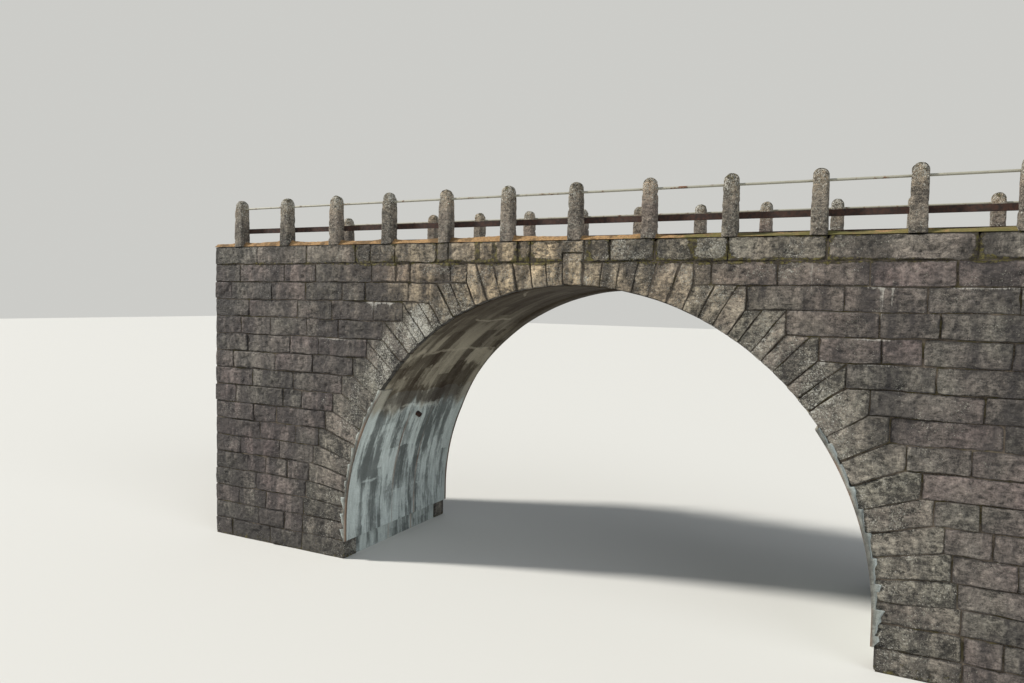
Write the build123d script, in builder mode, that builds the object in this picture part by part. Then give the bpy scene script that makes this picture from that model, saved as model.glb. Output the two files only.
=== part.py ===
from build123d import *
from math import asin, atan2, ceil, cos, degrees, radians, sin, sqrt, tan
import os

# A stone arch bridge. X runs along the bridge, Y from the front face to the back face, and Z up.
# The origin is under the middle of the arch, halfway between the faces, on the level that it stands on.

# Driving dimensions, in millimetres and degrees
span = 10000  # between the two feet of the arch
jamb_height = 745  # upright stretch under each end of the half circle
crown_depth = 800  # from the top of the coping down to the crown of the arch
course_height = 385
bridge_width = 4000
bridge_length = 17500

ring_depth = 450  # how far the arch stones and the face stones reach in from each face
ring_crown_thickness = 600  # of the ring at the crown, by the curve that its steps follow
ring_back_drop = 550  # centre of that curve, below the centre of the arch
ring_joint_angles = (23, 47, 71)  # from the crown, near which the ring is divided
wall_joint_angle = 58  # from the crown, near which the spandrel stands on the abutment
keystone_width = 370  # at the arris of the arch
keystone_rise = 160  # into the coping

vault_setback = 30  # of the concrete soffit behind the arris of the ring
vault_thickness = 450
vault_crown_angle = 18  # from the crown to the first pouring joint
lining_thickness = 50  # over the soffit of the ring
lining_start_angle = 55  # from the crown

road_depth = 150  # of the gravel below the top of the coping
verge_height = 70  # of the gravel and needles above the coping
verge_setback = 55  # of their edge behind the face
verge_bank = 90  # width of the sloping edge
road_camber = 50

post_spacing = 1333
posts_each_way = 6  # on each side of the post over the keystone
post_height = 1020
post_foot = 260
post_head = 228  # at the edge of the rounded top
post_crown_rise = 55  # of the rounded top above its edge
post_inset = 150  # from the face to the middle of the posts

pipe_diameter = 42
pipe_wall = 4
pipe_height = 830  # from the coping to the middle of the pipe
channel_depth = 100
channel_flange = 50
channel_web_thickness = 6
channel_flange_thickness = 9
channel_root = 8
channel_top = 400  # above the coping
housing_depth = 15  # of the rebate in each post that the channel lies in
rail_overhang = 90  # past the middle of the last posts
seat_clearance = 0.3

# Levels and places that follow from them
arch_radius = span / 2
springing = jamb_height
crown_level = springing + arch_radius
deck = crown_level + crown_depth
half_width = bridge_width / 2
half_length = bridge_length / 2
inner_width = bridge_width - 2 * ring_depth
vault_radius = arch_radius + vault_setback
vault_back_radius = vault_radius + vault_thickness
ring_back_radius = arch_radius + ring_crown_thickness + ring_back_drop
bottom_course = ceil(deck / course_height)
keystone_angle = degrees(asin(keystone_width / 2 / arch_radius))
fill_top = deck - road_depth
post_line = half_width - post_inset
post_stations = [i * post_spacing for i in range(-posts_each_way, posts_each_way + 1)]
rail_length = 2 * (posts_each_way * post_spacing + rail_overhang)
post_shoulder = post_height - post_crown_rise
post_side_slope = (post_foot - post_head) / 2 / post_shoulder
channel_middle = channel_top - channel_depth / 2
housing_face = post_foot / 2 - post_side_slope * channel_middle - housing_depth

os.makedirs("parts", exist_ok=True)


def keep(piece, name):
    """Labels a finished piece and writes it under that name."""
    piece.part.label = name
    export_step(piece.part, f"parts/{name}.step")


def bed(course):
    """Level of the joint under a course. Courses count down from the coping, which is course 1."""
    return max(deck - course * course_height, 0)


def on_circle(hand, radius, angle):
    """Point at an angle from the crown, on the hand that has the sign of hand."""
    return (hand * radius * sin(radians(angle)), springing + radius * cos(radians(angle)))


def ring_end(course):
    """Distance from the middle to the upright joint between the ring and the wall in a course."""
    middle = (bed(course - 1) + bed(course)) / 2
    height = middle - springing + ring_back_drop
    return sqrt(ring_back_radius**2 - height**2)


def step_angle(course):
    """Angle from the crown of the joint that runs to the inner corner of the step under a course."""
    return degrees(atan2(ring_end(course), bed(course) - springing))


def course_above(angle):
    """The lowest course whose step corner is no further from the crown than an angle."""
    return max(n for n in range(2, bottom_course) if n == 2 or step_angle(n) <= angle)


def steps_down(hand, first, last):
    """Corners of the stepped joint between the ring and the wall, from the top down."""
    corners = []
    for course in range(first, last + 1):
        corners.append((hand * ring_end(course), bed(course - 1)))
        corners.append((hand * ring_end(course), bed(course)))
    return corners


def face_plane(side):
    """Plane of the front face, for side -1, or of the back face, for side 1."""
    return Plane.XZ.offset(-side * half_width)


def ring_group(side, hand, first, last):
    """Arch stones of the courses first to last, with their stepped back, on one hand of one face."""
    if first == 2:
        start_angle = keystone_angle
        top_corner = (hand * tan(radians(keystone_angle)) * (bed(1) - springing), bed(1))
    else:
        start_angle = step_angle(first - 1)
        top_corner = (hand * ring_end(first - 1), bed(first - 1))
    outline = [on_circle(hand, arch_radius, start_angle), top_corner]
    outline += steps_down(hand, first, last)
    if last == bottom_course:
        end_angle = 90
        outline += [(hand * arch_radius, 0), (hand * arch_radius, springing)]
    else:
        end_angle = step_angle(last)
        outline += [on_circle(hand, arch_radius, end_angle)]
    middle = on_circle(hand, arch_radius, (start_angle + end_angle) / 2)
    with BuildPart() as group:
        with BuildSketch(face_plane(side)):
            with BuildLine():
                Polyline(*outline)
                ThreePointArc(outline[-1], middle, outline[0])
            make_face()
        extrude(amount=side * ring_depth)
    return group


def keystone_outline(bottom, top):
    """Corners of the keystone's flanks between two levels, from the bottom left one round."""
    slope = tan(radians(keystone_angle))
    low = slope * (bottom - springing)
    high = slope * (top - springing)
    return [(-low, bottom), (-high, top), (high, top), (low, bottom)]


def wall_block(side, hand, first, last):
    """Level courses first to last beside the ring, out to the end of the bridge."""
    outline = steps_down(hand, first, last)
    outline += [(hand * half_length, bed(last)), (hand * half_length, bed(first - 1))]
    with BuildPart() as wall:
        with BuildSketch(face_plane(side)):
            with BuildLine():
                Polyline(*outline, close=True)
            make_face()
        extrude(amount=side * ring_depth)
    return wall


def curved_bands(hand, layers, foot):
    """Bands that bend from the top of the lining to the springing and go on upright to a foot.

    Each layer has an inner and an outer radius, and a reach to either side of the middle.
    """
    with BuildPart() as bands:
        for inner, outer, reach in layers:
            with BuildSketch(Plane.XZ):
                with BuildLine():
                    for radius in (inner, outer):
                        ThreePointArc(
                            on_circle(hand, radius, lining_start_angle),
                            on_circle(hand, radius, (lining_start_angle + 90) / 2),
                            on_circle(hand, radius, 90),
                        )
                        Line(on_circle(hand, radius, 90), (hand * radius, foot))
                    Line(
                        on_circle(hand, inner, lining_start_angle),
                        on_circle(hand, outer, lining_start_angle),
                    )
                    Line((hand * inner, foot), (hand * outer, foot))
                make_face()
            extrude(amount=reach, both=True)
    return bands


def vault_piece(start, end):
    """Piece of the vault between two angles from the crown, negative ones to the left."""
    with BuildPart() as piece:
        with BuildSketch(Plane.XZ):
            with BuildLine():
                for radius in (vault_radius, vault_back_radius):
                    ThreePointArc(
                        on_circle(1, radius, start),
                        on_circle(1, radius, (start + end) / 2),
                        on_circle(1, radius, end),
                    )
                for angle in (start, end):
                    Line(on_circle(1, vault_radius, angle), on_circle(1, vault_back_radius, angle))
            make_face()
        extrude(amount=inner_width / 2, both=True)
    return piece


faces = {"front": -1, "back": 1}
hands = {"left": -1, "right": 1}

# The ring of arch stones on each face, in four groups on each hand of the keystone. The back of the
# ring steps up from bed to bed, and each group ends at a joint that runs to the corner of a step.
group_ends = [course_above(angle) for angle in ring_joint_angles] + [bottom_course]
group_starts = [2] + [course + 1 for course in group_ends[:-1]]
group_names = ("crown", "shoulder", "haunch", "foot")
for face, side in faces.items():
    for hand_name, hand in hands.items():
        for group_name, first, last in zip(group_names, group_starts, group_ends):
            ring = ring_group(side, hand, first, last)
            keep(ring, f"{face}_ring_{hand_name}_{group_name}")

# The keystones, which rise through the first bed into the coping.
keystone_top = bed(1) + keystone_rise
for face, side in faces.items():
    left_arris = on_circle(-1, arch_radius, keystone_angle)
    right_arris = on_circle(1, arch_radius, keystone_angle)
    with BuildPart() as keystone:
        with BuildSketch(face_plane(side)):
            with BuildLine():
                Polyline(*keystone_outline(left_arris[1], keystone_top))
                ThreePointArc(left_arris, (0, crown_level), right_arris)
            make_face()
        extrude(amount=side * ring_depth)
    keep(keystone, f"{face}_keystone")

# The coursed walls beside the ring: the spandrels above, on the abutments below.
last_spandrel_course = course_above(wall_joint_angle)
for face, side in faces.items():
    for hand_name, hand in hands.items():
        spandrel = wall_block(side, hand, 2, last_spandrel_course)
        keep(spandrel, f"{face}_spandrel_{hand_name}")
        abutment = wall_block(side, hand, last_spandrel_course + 1, bottom_course)
        keep(abutment, f"{face}_abutment_{hand_name}")

# The coping, with a notch that the head of the keystone fills.
for face, side in faces.items():
    with BuildPart() as coping:
        with BuildSketch(face_plane(side)):
            with BuildLine():
                Polyline(
                    (-half_length, bed(1)),
                    *keystone_outline(bed(1), keystone_top),
                    (half_length, bed(1)),
                    (half_length, deck),
                    (-half_length, deck),
                    close=True,
                )
            make_face()
        extrude(amount=side * ring_depth)
    keep(coping, f"{face}_coping")

# The concrete vault between the two rings.
keep(vault_piece(-vault_crown_angle, vault_crown_angle), "vault_crown")
for hand_name, hand in hands.items():
    vault_haunch = vault_piece(hand * vault_crown_angle, hand * lining_start_angle)
    keep(vault_haunch, f"vault_haunch_{hand_name}")
    vault_foot = curved_bands(hand, [(vault_radius, vault_back_radius, inner_width / 2)], 0)
    keep(vault_foot, f"vault_foot_{hand_name}")

# The thin concrete lining of the lower arch. It covers the soffit of the ring out to both faces, fills
# the setback of the vault between them, and stands on the bottom course.
lining_layers = [
    (arch_radius - lining_thickness, arch_radius, half_width),
    (arch_radius, vault_radius, inner_width / 2),
]
for hand_name, hand in hands.items():
    lining = curved_bands(hand, lining_layers, bed(bottom_course - 1))
    keep(lining, f"lining_{hand_name}")

# The walls that close the two ends, and the fill that all the walls hold in over the vault.
inner_length = bridge_length - 2 * ring_depth
for hand_name, hand in hands.items():
    with BuildPart() as end_wall:
        with BuildSketch(Plane.YZ.offset(hand * half_length)):
            with Locations((0, fill_top / 2)):
                Rectangle(inner_width, fill_top)
        extrude(amount=-hand * ring_depth)
    keep(end_wall, f"end_wall_{hand_name}")

with BuildPart() as fill:
    with BuildSketch(Plane.XZ):
        with BuildLine():
            Polyline(
                (-vault_back_radius, springing),
                (-vault_back_radius, 0),
                (-inner_length / 2, 0),
                (-inner_length / 2, fill_top),
                (inner_length / 2, fill_top),
                (inner_length / 2, 0),
                (vault_back_radius, 0),
                (vault_back_radius, springing),
            )
            ThreePointArc(
                (vault_back_radius, springing),
                (0, springing + vault_back_radius),
                (-vault_back_radius, springing),
            )
        make_face()
    extrude(amount=inner_width / 2, both=True)
keep(fill, "fill")

# The gravel road, which laps over both copings and banks round the feet of the posts.
verge_foot = half_width - verge_setback
verge_top = verge_foot - verge_bank
with BuildPart() as road:
    with BuildSketch(Plane.YZ):
        with BuildLine():
            Polyline(
                (-verge_top, deck + verge_height),
                (-verge_foot, deck),
                (-inner_width / 2, deck),
                (-inner_width / 2, fill_top),
                (inner_width / 2, fill_top),
                (inner_width / 2, deck),
                (verge_foot, deck),
                (verge_top, deck + verge_height),
            )
            ThreePointArc(
                (verge_top, deck + verge_height),
                (0, deck + verge_height + road_camber),
                (-verge_top, deck + verge_height),
            )
        make_face()
    extrude(amount=half_length, both=True)
    with BuildSketch(Plane.XY.offset(deck)):
        for side in faces.values():
            with Locations(*[(x, side * post_line) for x in post_stations]):
                Rectangle(post_foot, post_foot)
    extrude(amount=verge_height + road_camber, mode=Mode.SUBTRACT)
keep(road, "road_surface")

# The railing posts: square and tapered, with tops rounded both ways, a bore for the pipe and a rebate
# in the side towards the road for the channel. Each is dressed to the same profile along and across.
for face, side in faces.items():
    with BuildPart() as post:
        for profile_plane, mode in ((Plane.XZ, Mode.ADD), (Plane.YZ, Mode.INTERSECT)):
            with BuildSketch(profile_plane):
                with BuildLine():
                    Polyline(
                        (post_head / 2, post_shoulder),
                        (post_foot / 2, 0),
                        (-post_foot / 2, 0),
                        (-post_head / 2, post_shoulder),
                    )
                    ThreePointArc(
                        (-post_head / 2, post_shoulder),
                        (0, post_height),
                        (post_head / 2, post_shoulder),
                    )
                make_face()
            extrude(amount=post_foot / 2, both=True, mode=mode)
        with BuildSketch(Plane.YZ):
            with Locations((0, pipe_height)):
                Circle(pipe_diameter / 2 + seat_clearance)
        extrude(amount=post_foot, both=True, mode=Mode.SUBTRACT)
        with BuildSketch(Plane.YZ):
            with Locations((-side * (housing_face + post_foot / 2), channel_middle)):
                Rectangle(post_foot, channel_depth + 2 * seat_clearance)
        extrude(amount=post_foot, both=True, mode=Mode.SUBTRACT)
    with BuildPart() as posts:
        with Locations(*[(x, side * post_line, deck) for x in post_stations]):
            add(post.part)
    keep(posts, f"{face}_posts")

# The top rail, a pipe through the bores of the posts.
for face, side in faces.items():
    with BuildPart() as pipe:
        with BuildSketch(Plane.YZ.offset(-rail_length / 2)):
            with Locations((side * post_line, deck + pipe_height)):
                Circle(pipe_diameter / 2)
                Circle(pipe_diameter / 2 - pipe_wall, mode=Mode.SUBTRACT)
        extrude(amount=rail_length)
    keep(pipe, f"{face}_top_rail")

# The lower rail, a channel with the back of its web in the rebates and its flanges towards the road.
for face, side in faces.items():
    web_back = side * (post_line - housing_face - seat_clearance)
    middle = deck + channel_middle
    with BuildPart() as channel:
        with BuildSketch(Plane.YZ.offset(-rail_length / 2)) as section:
            with Locations((web_back - side * channel_flange / 2, middle)):
                Rectangle(channel_flange, channel_depth)
            hollow_width = channel_flange - channel_web_thickness
            hollow_depth = channel_depth - 2 * channel_flange_thickness
            hollow_middle = web_back - side * (channel_web_thickness + hollow_width / 2)
            with Locations((hollow_middle, middle)):
                Rectangle(hollow_width, hollow_depth, mode=Mode.SUBTRACT)
            web_face = web_back - side * channel_web_thickness
            roots = section.vertices().filter_by(lambda v: abs(v.X - web_face) < seat_clearance)
            fillet(roots, channel_root)
        extrude(amount=rail_length)
    keep(channel, f"{face}_channel_rail")
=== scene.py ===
# %% [markdown]
# A single-span stone arch bridge. The construction arrives as a frame of plain solids, and this
# lesson dresses it: rock-faced stones laid in courses, a streaked concrete vault, weathered posts,
# rusty rails and a gravel road. Every object is in metres, X along the bridge, Y from the front face
# to the back face and Z up, so each piece is made where the frame says.

# %% Load the frame
from itertools import pairwise, product
from math import atan2, ceil, cos, degrees, pi, radians, sin, sqrt, tan

import bpy
import numpy as np
from mathutils import Matrix, Vector


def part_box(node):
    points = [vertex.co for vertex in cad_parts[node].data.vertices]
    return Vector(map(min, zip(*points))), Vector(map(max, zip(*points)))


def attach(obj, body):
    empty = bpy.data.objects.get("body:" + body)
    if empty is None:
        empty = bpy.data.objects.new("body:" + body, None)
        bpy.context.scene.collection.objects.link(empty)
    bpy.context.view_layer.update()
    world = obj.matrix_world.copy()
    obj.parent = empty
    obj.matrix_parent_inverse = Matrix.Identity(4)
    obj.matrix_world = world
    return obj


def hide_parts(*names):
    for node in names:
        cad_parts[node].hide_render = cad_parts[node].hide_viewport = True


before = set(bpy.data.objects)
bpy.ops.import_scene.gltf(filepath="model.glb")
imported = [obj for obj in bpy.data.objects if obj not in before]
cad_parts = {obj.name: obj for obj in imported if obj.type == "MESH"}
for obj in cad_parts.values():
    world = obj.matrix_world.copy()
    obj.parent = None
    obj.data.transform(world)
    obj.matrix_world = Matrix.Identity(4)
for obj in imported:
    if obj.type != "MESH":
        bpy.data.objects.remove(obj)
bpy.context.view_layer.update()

# %% [markdown]
# The stones have to meet the frame to the millimetre, so the sizes come from the boxes of its nodes.
# Only what no box tells is written down as a number: the half circle of the arch, and the larger
# circle that the stepped back of the ring follows.

# %% Measure the construction
coping_low, coping_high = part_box("front_coping")
half_width = round(-coping_low.y, 3)
half_length = round(coping_high.x, 3)
deck = round(coping_high.z, 3)
course_height = round(coping_high.z - coping_low.z, 3)
wall_depth = round(coping_high.y - coping_low.y, 3)
fill_top = round(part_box("end_wall_right")[1].z, 3)
arch_radius = 5.0
crown_depth = 0.8  # from the top of the coping to the crown of the arch
springing = deck - crown_depth - arch_radius
vault_radius = round(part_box("lining_right")[1].x, 3)
lining_radius = arch_radius - 0.05
lining_foot = round(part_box("lining_right")[0].z, 3)
lining_start = 55  # degrees from the crown
ring_back_radius = 6.15
ring_back_drop = 0.55  # centre of the back's circle below the centre of the arch
keystone_angle = degrees(atan2(0.185, arch_radius))
keystone_top = round(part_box("front_keystone")[1].z, 3)
bottom_course = ceil(deck / course_height - 1e-6)


def bed(course):
    """Level of the joint under a course. Courses count down from the coping, which is course 1."""
    return max(deck - course * course_height, 0)


def ring_end(course):
    """Distance from the middle to the upright joint between the ring and the wall in a course."""
    height = (bed(course - 1) + bed(course)) / 2 - springing + ring_back_drop
    return sqrt(ring_back_radius**2 - height**2)


def step_angle(course):
    """Angle from the crown of the joint that runs to the inner corner of the step under a course."""
    return degrees(atan2(ring_end(course), bed(course) - springing))


def on_arch(radius, angle):
    """Point at an angle from the crown, right of the middle."""
    return (radius * sin(radians(angle)), springing + radius * cos(radians(angle)))


print("courses:", bottom_course, "of", course_height, "m, springing at", round(springing, 3), "m")

# %% [markdown]
# The camera stands to the right of the arch and a little below the coping. Its place, its turns and its
# lens were worked out from the edges of the bridge. The turns are multiplied in a fixed order, because
# the small roll is about the line of sight, the pitch about the level and the yaw about the upright.

# %% Place the camera
camera_place = (5.088, -14.393, 5.477)
camera_yaw, camera_pitch, camera_roll = radians(26.678), radians(-3.140), radians(1.044)

camera_data = bpy.data.cameras.new("camera")
camera_data.lens = 26.76
camera_data.sensor_width = 36
camera_data.clip_end = 400
camera = bpy.data.objects.new("camera", camera_data)
bpy.context.scene.collection.objects.link(camera)
camera.matrix_world = (
    Matrix.Translation(camera_place)
    @ Matrix.Rotation(camera_yaw, 4, "Z")
    @ Matrix.Rotation(pi / 2 + camera_pitch, 4, "X")
    @ Matrix.Rotation(camera_roll, 4, "Z")
)
bpy.context.scene.camera = camera
print("camera:", camera_place, "lens", camera_data.lens)

# %% [markdown]
# Shader graphs read best as arithmetic. A Signal stands for one output socket, and adding or
# multiplying Signals adds Math nodes. Vectors go through Vector Math, because a Math node would keep
# only one number of them. A Finish is one material: its node method adds any other node, sets its
# options first, and then fills its sockets with numbers or links. Colours are written as they look on
# a screen, because that is how one reads them, and tone turns them into the shader's linear numbers.

# %% Write shader maths as expressions
def tone(red, green, blue):
    """A colour given as it looks on a screen, 0 to 255, in the linear numbers that shaders use."""
    parts = [v / 255 for v in (red, green, blue)]
    return (*[v / 12.92 if v <= 0.04045 else ((v + 0.055) / 1.055) ** 2.4 for v in parts], 1)


class Signal:
    """An output socket that takes part in sums."""

    def __init__(self, finish, socket):
        self.finish = finish
        self.socket = socket

    def __add__(self, other):
        return self.finish.maths("ADD", self, other)

    def __sub__(self, other):
        return self.finish.maths("SUBTRACT", self, other)

    def __rsub__(self, other):
        return self.finish.maths("SUBTRACT", other, self)

    def __mul__(self, other):
        return self.finish.maths("MULTIPLY", self, other)

    __radd__ = __add__
    __rmul__ = __mul__

    def clipped(self):
        """The same, held between 0 and 1."""
        return self.finish.maths("ADD", self, 0, use_clamp=True)

    def above(self, low, high):
        """0 below low, 1 above high, with a smooth passage between."""
        settings = {"interpolation_type": "SMOOTHSTEP"}
        sockets = {"Value": self, "From Min": low, "From Max": high}
        return self.finish.node("ShaderNodeMapRange", settings, sockets, "Result")


class Finish:
    """A procedural material around one Principled shader."""

    def __init__(self, name):
        self.material = bpy.data.materials.new(name)
        self.material.use_nodes = True
        self.tree = self.material.node_tree
        self.shader = self.tree.nodes["Principled BSDF"]
        self.place = self.node("ShaderNodeTexCoord", {}, {}, "Object")

    def node(self, kind, settings, sockets, output=0):
        """Adds a node, sets its options, fills its sockets and returns one output as a Signal."""
        made = self.tree.nodes.new(kind)
        for option, value in settings.items():
            setattr(made, option, value)
        for key, value in sockets.items():
            self.feed(self.find(made.inputs, key), value)
        return Signal(self, self.find(made.outputs, output))

    @staticmethod
    def find(sockets, key):
        """A socket by its number, its identifier or its name."""
        if isinstance(key, int):
            return sockets[key]
        for socket in sockets:
            if key in (socket.identifier, socket.name):
                return socket
        raise KeyError(key)

    def feed(self, socket, value):
        """Gives a socket a link or a plain value."""
        if isinstance(value, Signal):
            self.tree.links.new(value.socket, socket)
        elif value is not None:
            socket.default_value = value

    def maths(self, operation, first, second, use_clamp=False):
        """One sum of two numbers, or of two vectors where either is one."""
        kinds = [v.socket.type if isinstance(v, Signal) else None for v in (first, second)]
        wide = "VECTOR" in kinds or any(isinstance(v, tuple) for v in (first, second))
        kind = "ShaderNodeVectorMath" if wide else "ShaderNodeMath"
        settings = {"operation": operation}
        if not wide:
            settings["use_clamp"] = use_clamp
        return self.node(kind, settings, {0: first, 1: second})

    def blend(self, under, over, share, how="MIX"):
        """The colour over laid on the colour under."""
        settings = {"data_type": "RGBA", "blend_type": how}
        sockets = {"Factor_Float": share, "A_Color": under, "B_Color": over}
        return self.node("ShaderNodeMix", settings, sockets, "Result_Color")

    def layered(self, colour, *layers):
        """A colour under layers, each a colour and its share, from the bottom up."""
        for over, share in layers:
            colour = self.blend(colour, over, share)
        return colour

    def shade(self, colour, amount):
        """A colour made darker or lighter by a number round 1."""
        grey = self.node("ShaderNodeCombineColor", {}, dict.fromkeys(("Red", "Green", "Blue"), amount))
        return self.blend(colour, grey, 1.0, "MULTIPLY")

    def mark(self, name):
        """A number that the mesh carries at each point."""
        return self.node("ShaderNodeAttribute", {"attribute_name": name}, {}, "Fac")

    def grains(self, scale, detail=3.0, roughness=0.55, place=None, stretch=None):
        """Noise round 0.5. Stretch makes it long in the directions with small numbers."""
        place = place or self.place
        if stretch:
            place = place * stretch
        sockets = {"Vector": place, "Scale": scale, "Detail": detail, "Roughness": roughness}
        return self.node("ShaderNodeTexNoise", {}, sockets)

    def flecks(self, scale):
        """Distance to the nearest of scattered points, for pebbles and crystals."""
        sockets = {"Vector": self.place, "Scale": scale}
        return self.node("ShaderNodeTexVoronoi", {}, sockets, "Distance")

    def bump(self, height, distance, under=None):
        """The surface's normal, tilted by a height."""
        sockets = {"Distance": distance, "Height": height, "Normal": under}
        return self.node("ShaderNodeBump", {}, sockets, "Normal")

    def finish(self, **given):
        """Links what varies over the surface to the shader, or sets what is the same all over."""
        for name, value in given.items():
            self.feed(self.shader.inputs[name.replace("_", " ").title()], value)
        return self.material


print("shader helpers ready")

# %% [markdown]
# All the stone is granite, split and roughly dressed, and more than a lifetime of rain, lime and moss
# lies on it. One function makes every variety. The ground drifts between a grey and a ruddy tone, each
# stone has its own tint, and noise at five scales, from broad clouds to single crystals, makes it
# uneven. The hollows of each face are darker, with dirt and painted shade, and its ridges are paler with
# a painted highlight. A warm beige, partly tint and partly painted sunlight, lies on the crown and the
# coping. Then come the layers that weather adds, each masked by a mark that the mesh carries and
# broken up by noise: the marks say where, and the noise says how it looks close up. The pale top edges
# of the stones are dust with a painted highlight, and the dark stains include painted shade. Coarse and
# fine relief go through two Bump nodes in a row.

# %% Mix the granite
def granite(name, pale, ruddy, dark, contrast, speckle):
    """Weathered granite that drifts between a pale and a ruddy tone, with dark water stains, painted shade
    and painted highlights.
    """
    stone = Finish(name)
    tint, rim, ridge = stone.mark("tint"), stone.mark("rim"), stone.mark("ridge")
    drift = stone.grains(0.9, 2.0)
    broad = stone.grains(2.2, 3.0)
    clouds = stone.grains(5.5, 5.0, 0.65)
    mottle = stone.grains(17.0, 6.0, 0.7)
    tooled = stone.grains(26.0, 5.0, 0.65, stretch=(0.35, 0.35, 1.0))
    fine = stone.grains(55.0, 5.0, 0.7)
    crystals = stone.flecks(95.0)
    pits = stone.grains(30.0, 5.0, 0.78).above(0.57, 0.66)
    ruddiness = (drift * 1.8 + tint * 0.7 - 0.8).clipped()
    # The beige under the warm mark is partly a warm tint and partly painted sunlight on the crown and the
    # coping.
    colour = stone.layered(pale, (ruddy, ruddiness), (tone(188, 167, 134), stone.mark("warm") * 0.72))
    level = broad.above(0.3, 0.7) * 0.35 + clouds.above(0.25, 0.75) * 0.25
    level = level + mottle.above(0.3, 0.7) * 0.35 + tooled.above(0.35, 0.65) * 0.35
    # The ridge mark lightens the ridges and darkens the hollows of each face: a painted highlight and painted
    # shade that show its relief.
    level = level + fine.above(0.35, 0.65) * 0.38 + tint * 0.3 + ridge * 0.16
    colour = stone.shade(colour, stone.maths("MAXIMUM", (level - 0.98) * contrast + 1.0, 0.25))

    # Pale top edges of each stone: dust, and a painted highlight where light catches the top arris.
    top_dust_and_highlight = (stone.mark("dust") + mottle * 0.8 - 0.6).above(0.1, 0.7)
    runs = stone.grains(1.5, 5.0, 0.65, stretch=(2.6, 2.6, 0.62))
    # Dark water stains, which through the damp mark also carry painted shade.
    stains_and_painted_shade = (runs + stone.mark("damp") * 0.26 - 0.04).above(0.47, 0.74)
    # Grime near the arrises, and painted shade in the hollows of the face.
    grime_and_painted_shade = (rim * 0.7 + clouds * 0.8 - ridge * 0.3 - 0.4).above(0.1, 0.8)
    patchy = stone.grains(2.6, 3.0)
    grown = stone.mark("lichen") * 0.21 + speckle
    lichen = (stone.grains(32.0, 5.0, 0.72) + patchy * 0.35 + grown).above(0.84, 0.9)
    crust = (stone.grains(38.0, 4.0, 0.7) + patchy * 0.3 + grown).above(0.88, 0.93)
    drips = stone.grains(3.2, 6.0, 0.75, stretch=(11.0, 11.0, 1.1))
    lime = (stone.mark("lime") * 0.62 + drips * 1.3 - 0.8).above(0.16, 0.42)
    tufts = stone.grains(13.0, 6.0, 0.75)
    moss = (stone.mark("moss") * 0.78 + rim * 0.1 + tufts * 1.2 - 0.74).above(0.2, 0.36)
    lush = stone.grains(15.0, 5.0, 0.7).above(0.44, 0.62)
    colour = stone.layered(
        colour,
        (stone.shade(pale, 1.5), (0.16 - crystals).above(0.0, 0.14) * 0.4),
        (dark, pits * 0.25),
        (tone(150, 143, 132), top_dust_and_highlight * 0.55),
        (dark, stains_and_painted_shade * 0.75),
        (stone.shade(dark, 0.9), grime_and_painted_shade * 0.6),
        (tone(160, 157, 144), lichen * 0.75),
        (tone(206, 204, 194), crust * 0.9),
        (tone(190, 187, 178), lime * 0.72),
        (stone.blend(tone(43, 35, 22), tone(106, 98, 36), lush), moss * 0.9),
    )

    relief = mottle * 0.6 + tooled * 0.6 + fine * 0.4 - crystals * 0.2 - pits * 0.4
    relief = relief + moss * 0.5 + lichen * 0.15
    normal = stone.bump(relief, 0.034, stone.bump(clouds, 0.15))
    roughness = (fine * 0.2 + 0.76 - stains_and_painted_shade * 0.1).clipped()
    return stone.finish(base_color=colour, roughness=roughness, normal=normal)


granites = {
    "wall": (tone(116, 112, 103), tone(104, 92, 89), tone(37, 33, 34), 1.7, 0.018),
    "arch": (tone(132, 128, 116), tone(115, 106, 98), tone(38, 35, 33), 2.2, 0.052),
    "coping": (tone(117, 115, 105), tone(107, 99, 92), tone(36, 33, 29), 2.3, 0.04),
    "post": (tone(134, 126, 112), tone(118, 106, 97), tone(44, 39, 35), 2.0, 0.045),
}
granites = {name: granite(f"{name}_granite", *recipe) for name, recipe in granites.items()}
print("granite:", *granites)

# %% [markdown]
# Most joints are open and hold only crumbs of old mortar and soil, which look nearly black from a
# distance. Some stretches were filled again with mortar of the stone's own colour, and moss has
# settled in others. Noise as broad as a stone decides between the three.

# %% Fill the joints and the hidden core
def packing(name, deep, light):
    """Crumbly joint filling."""
    mortar = Finish(name)
    crumbs = mortar.grains(40.0, 5.0, 0.7)
    filled = mortar.grains(1.3, 3.0).above(0.46, 0.58)
    green = mortar.grains(4.5, 4.0).above(0.5, 0.62)
    colour = mortar.layered(
        deep,
        (light, crumbs.above(0.4, 0.75)),
        (mortar.shade(tone(118, 107, 95), crumbs * 0.6 + 0.6), filled * 0.75),
        (mortar.shade(tone(78, 72, 34), crumbs + 0.25), green * 0.7),
    )
    normal = mortar.bump(crumbs, 0.01)
    return mortar.finish(base_color=colour, roughness=0.9 + crumbs * 0.1, normal=normal)


joint_packing = packing("joint_packing", tone(46, 40, 34), tone(104, 93, 78))
rubble = packing("rubble", tone(78, 70, 60), tone(116, 104, 88))
print("packing ready")

# %% [markdown]
# The concrete of the soffit was cast on boards, which left long patches of light and dark that follow
# the curve. Water carries lime out of it, brownish above and bluish towards the foot, in runs between
# which the damp concrete stays dark. A picture could be wrapped round the curve, but noise can be too:
# the mesh marks how far each point lies along the curve (run) and across the bridge (across), and the
# noise reads those two as if the soffit were unrolled. Further marks say where lime, washed-out
# concrete, pale edges, patches, rust and the seams between two pours lie.

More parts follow.
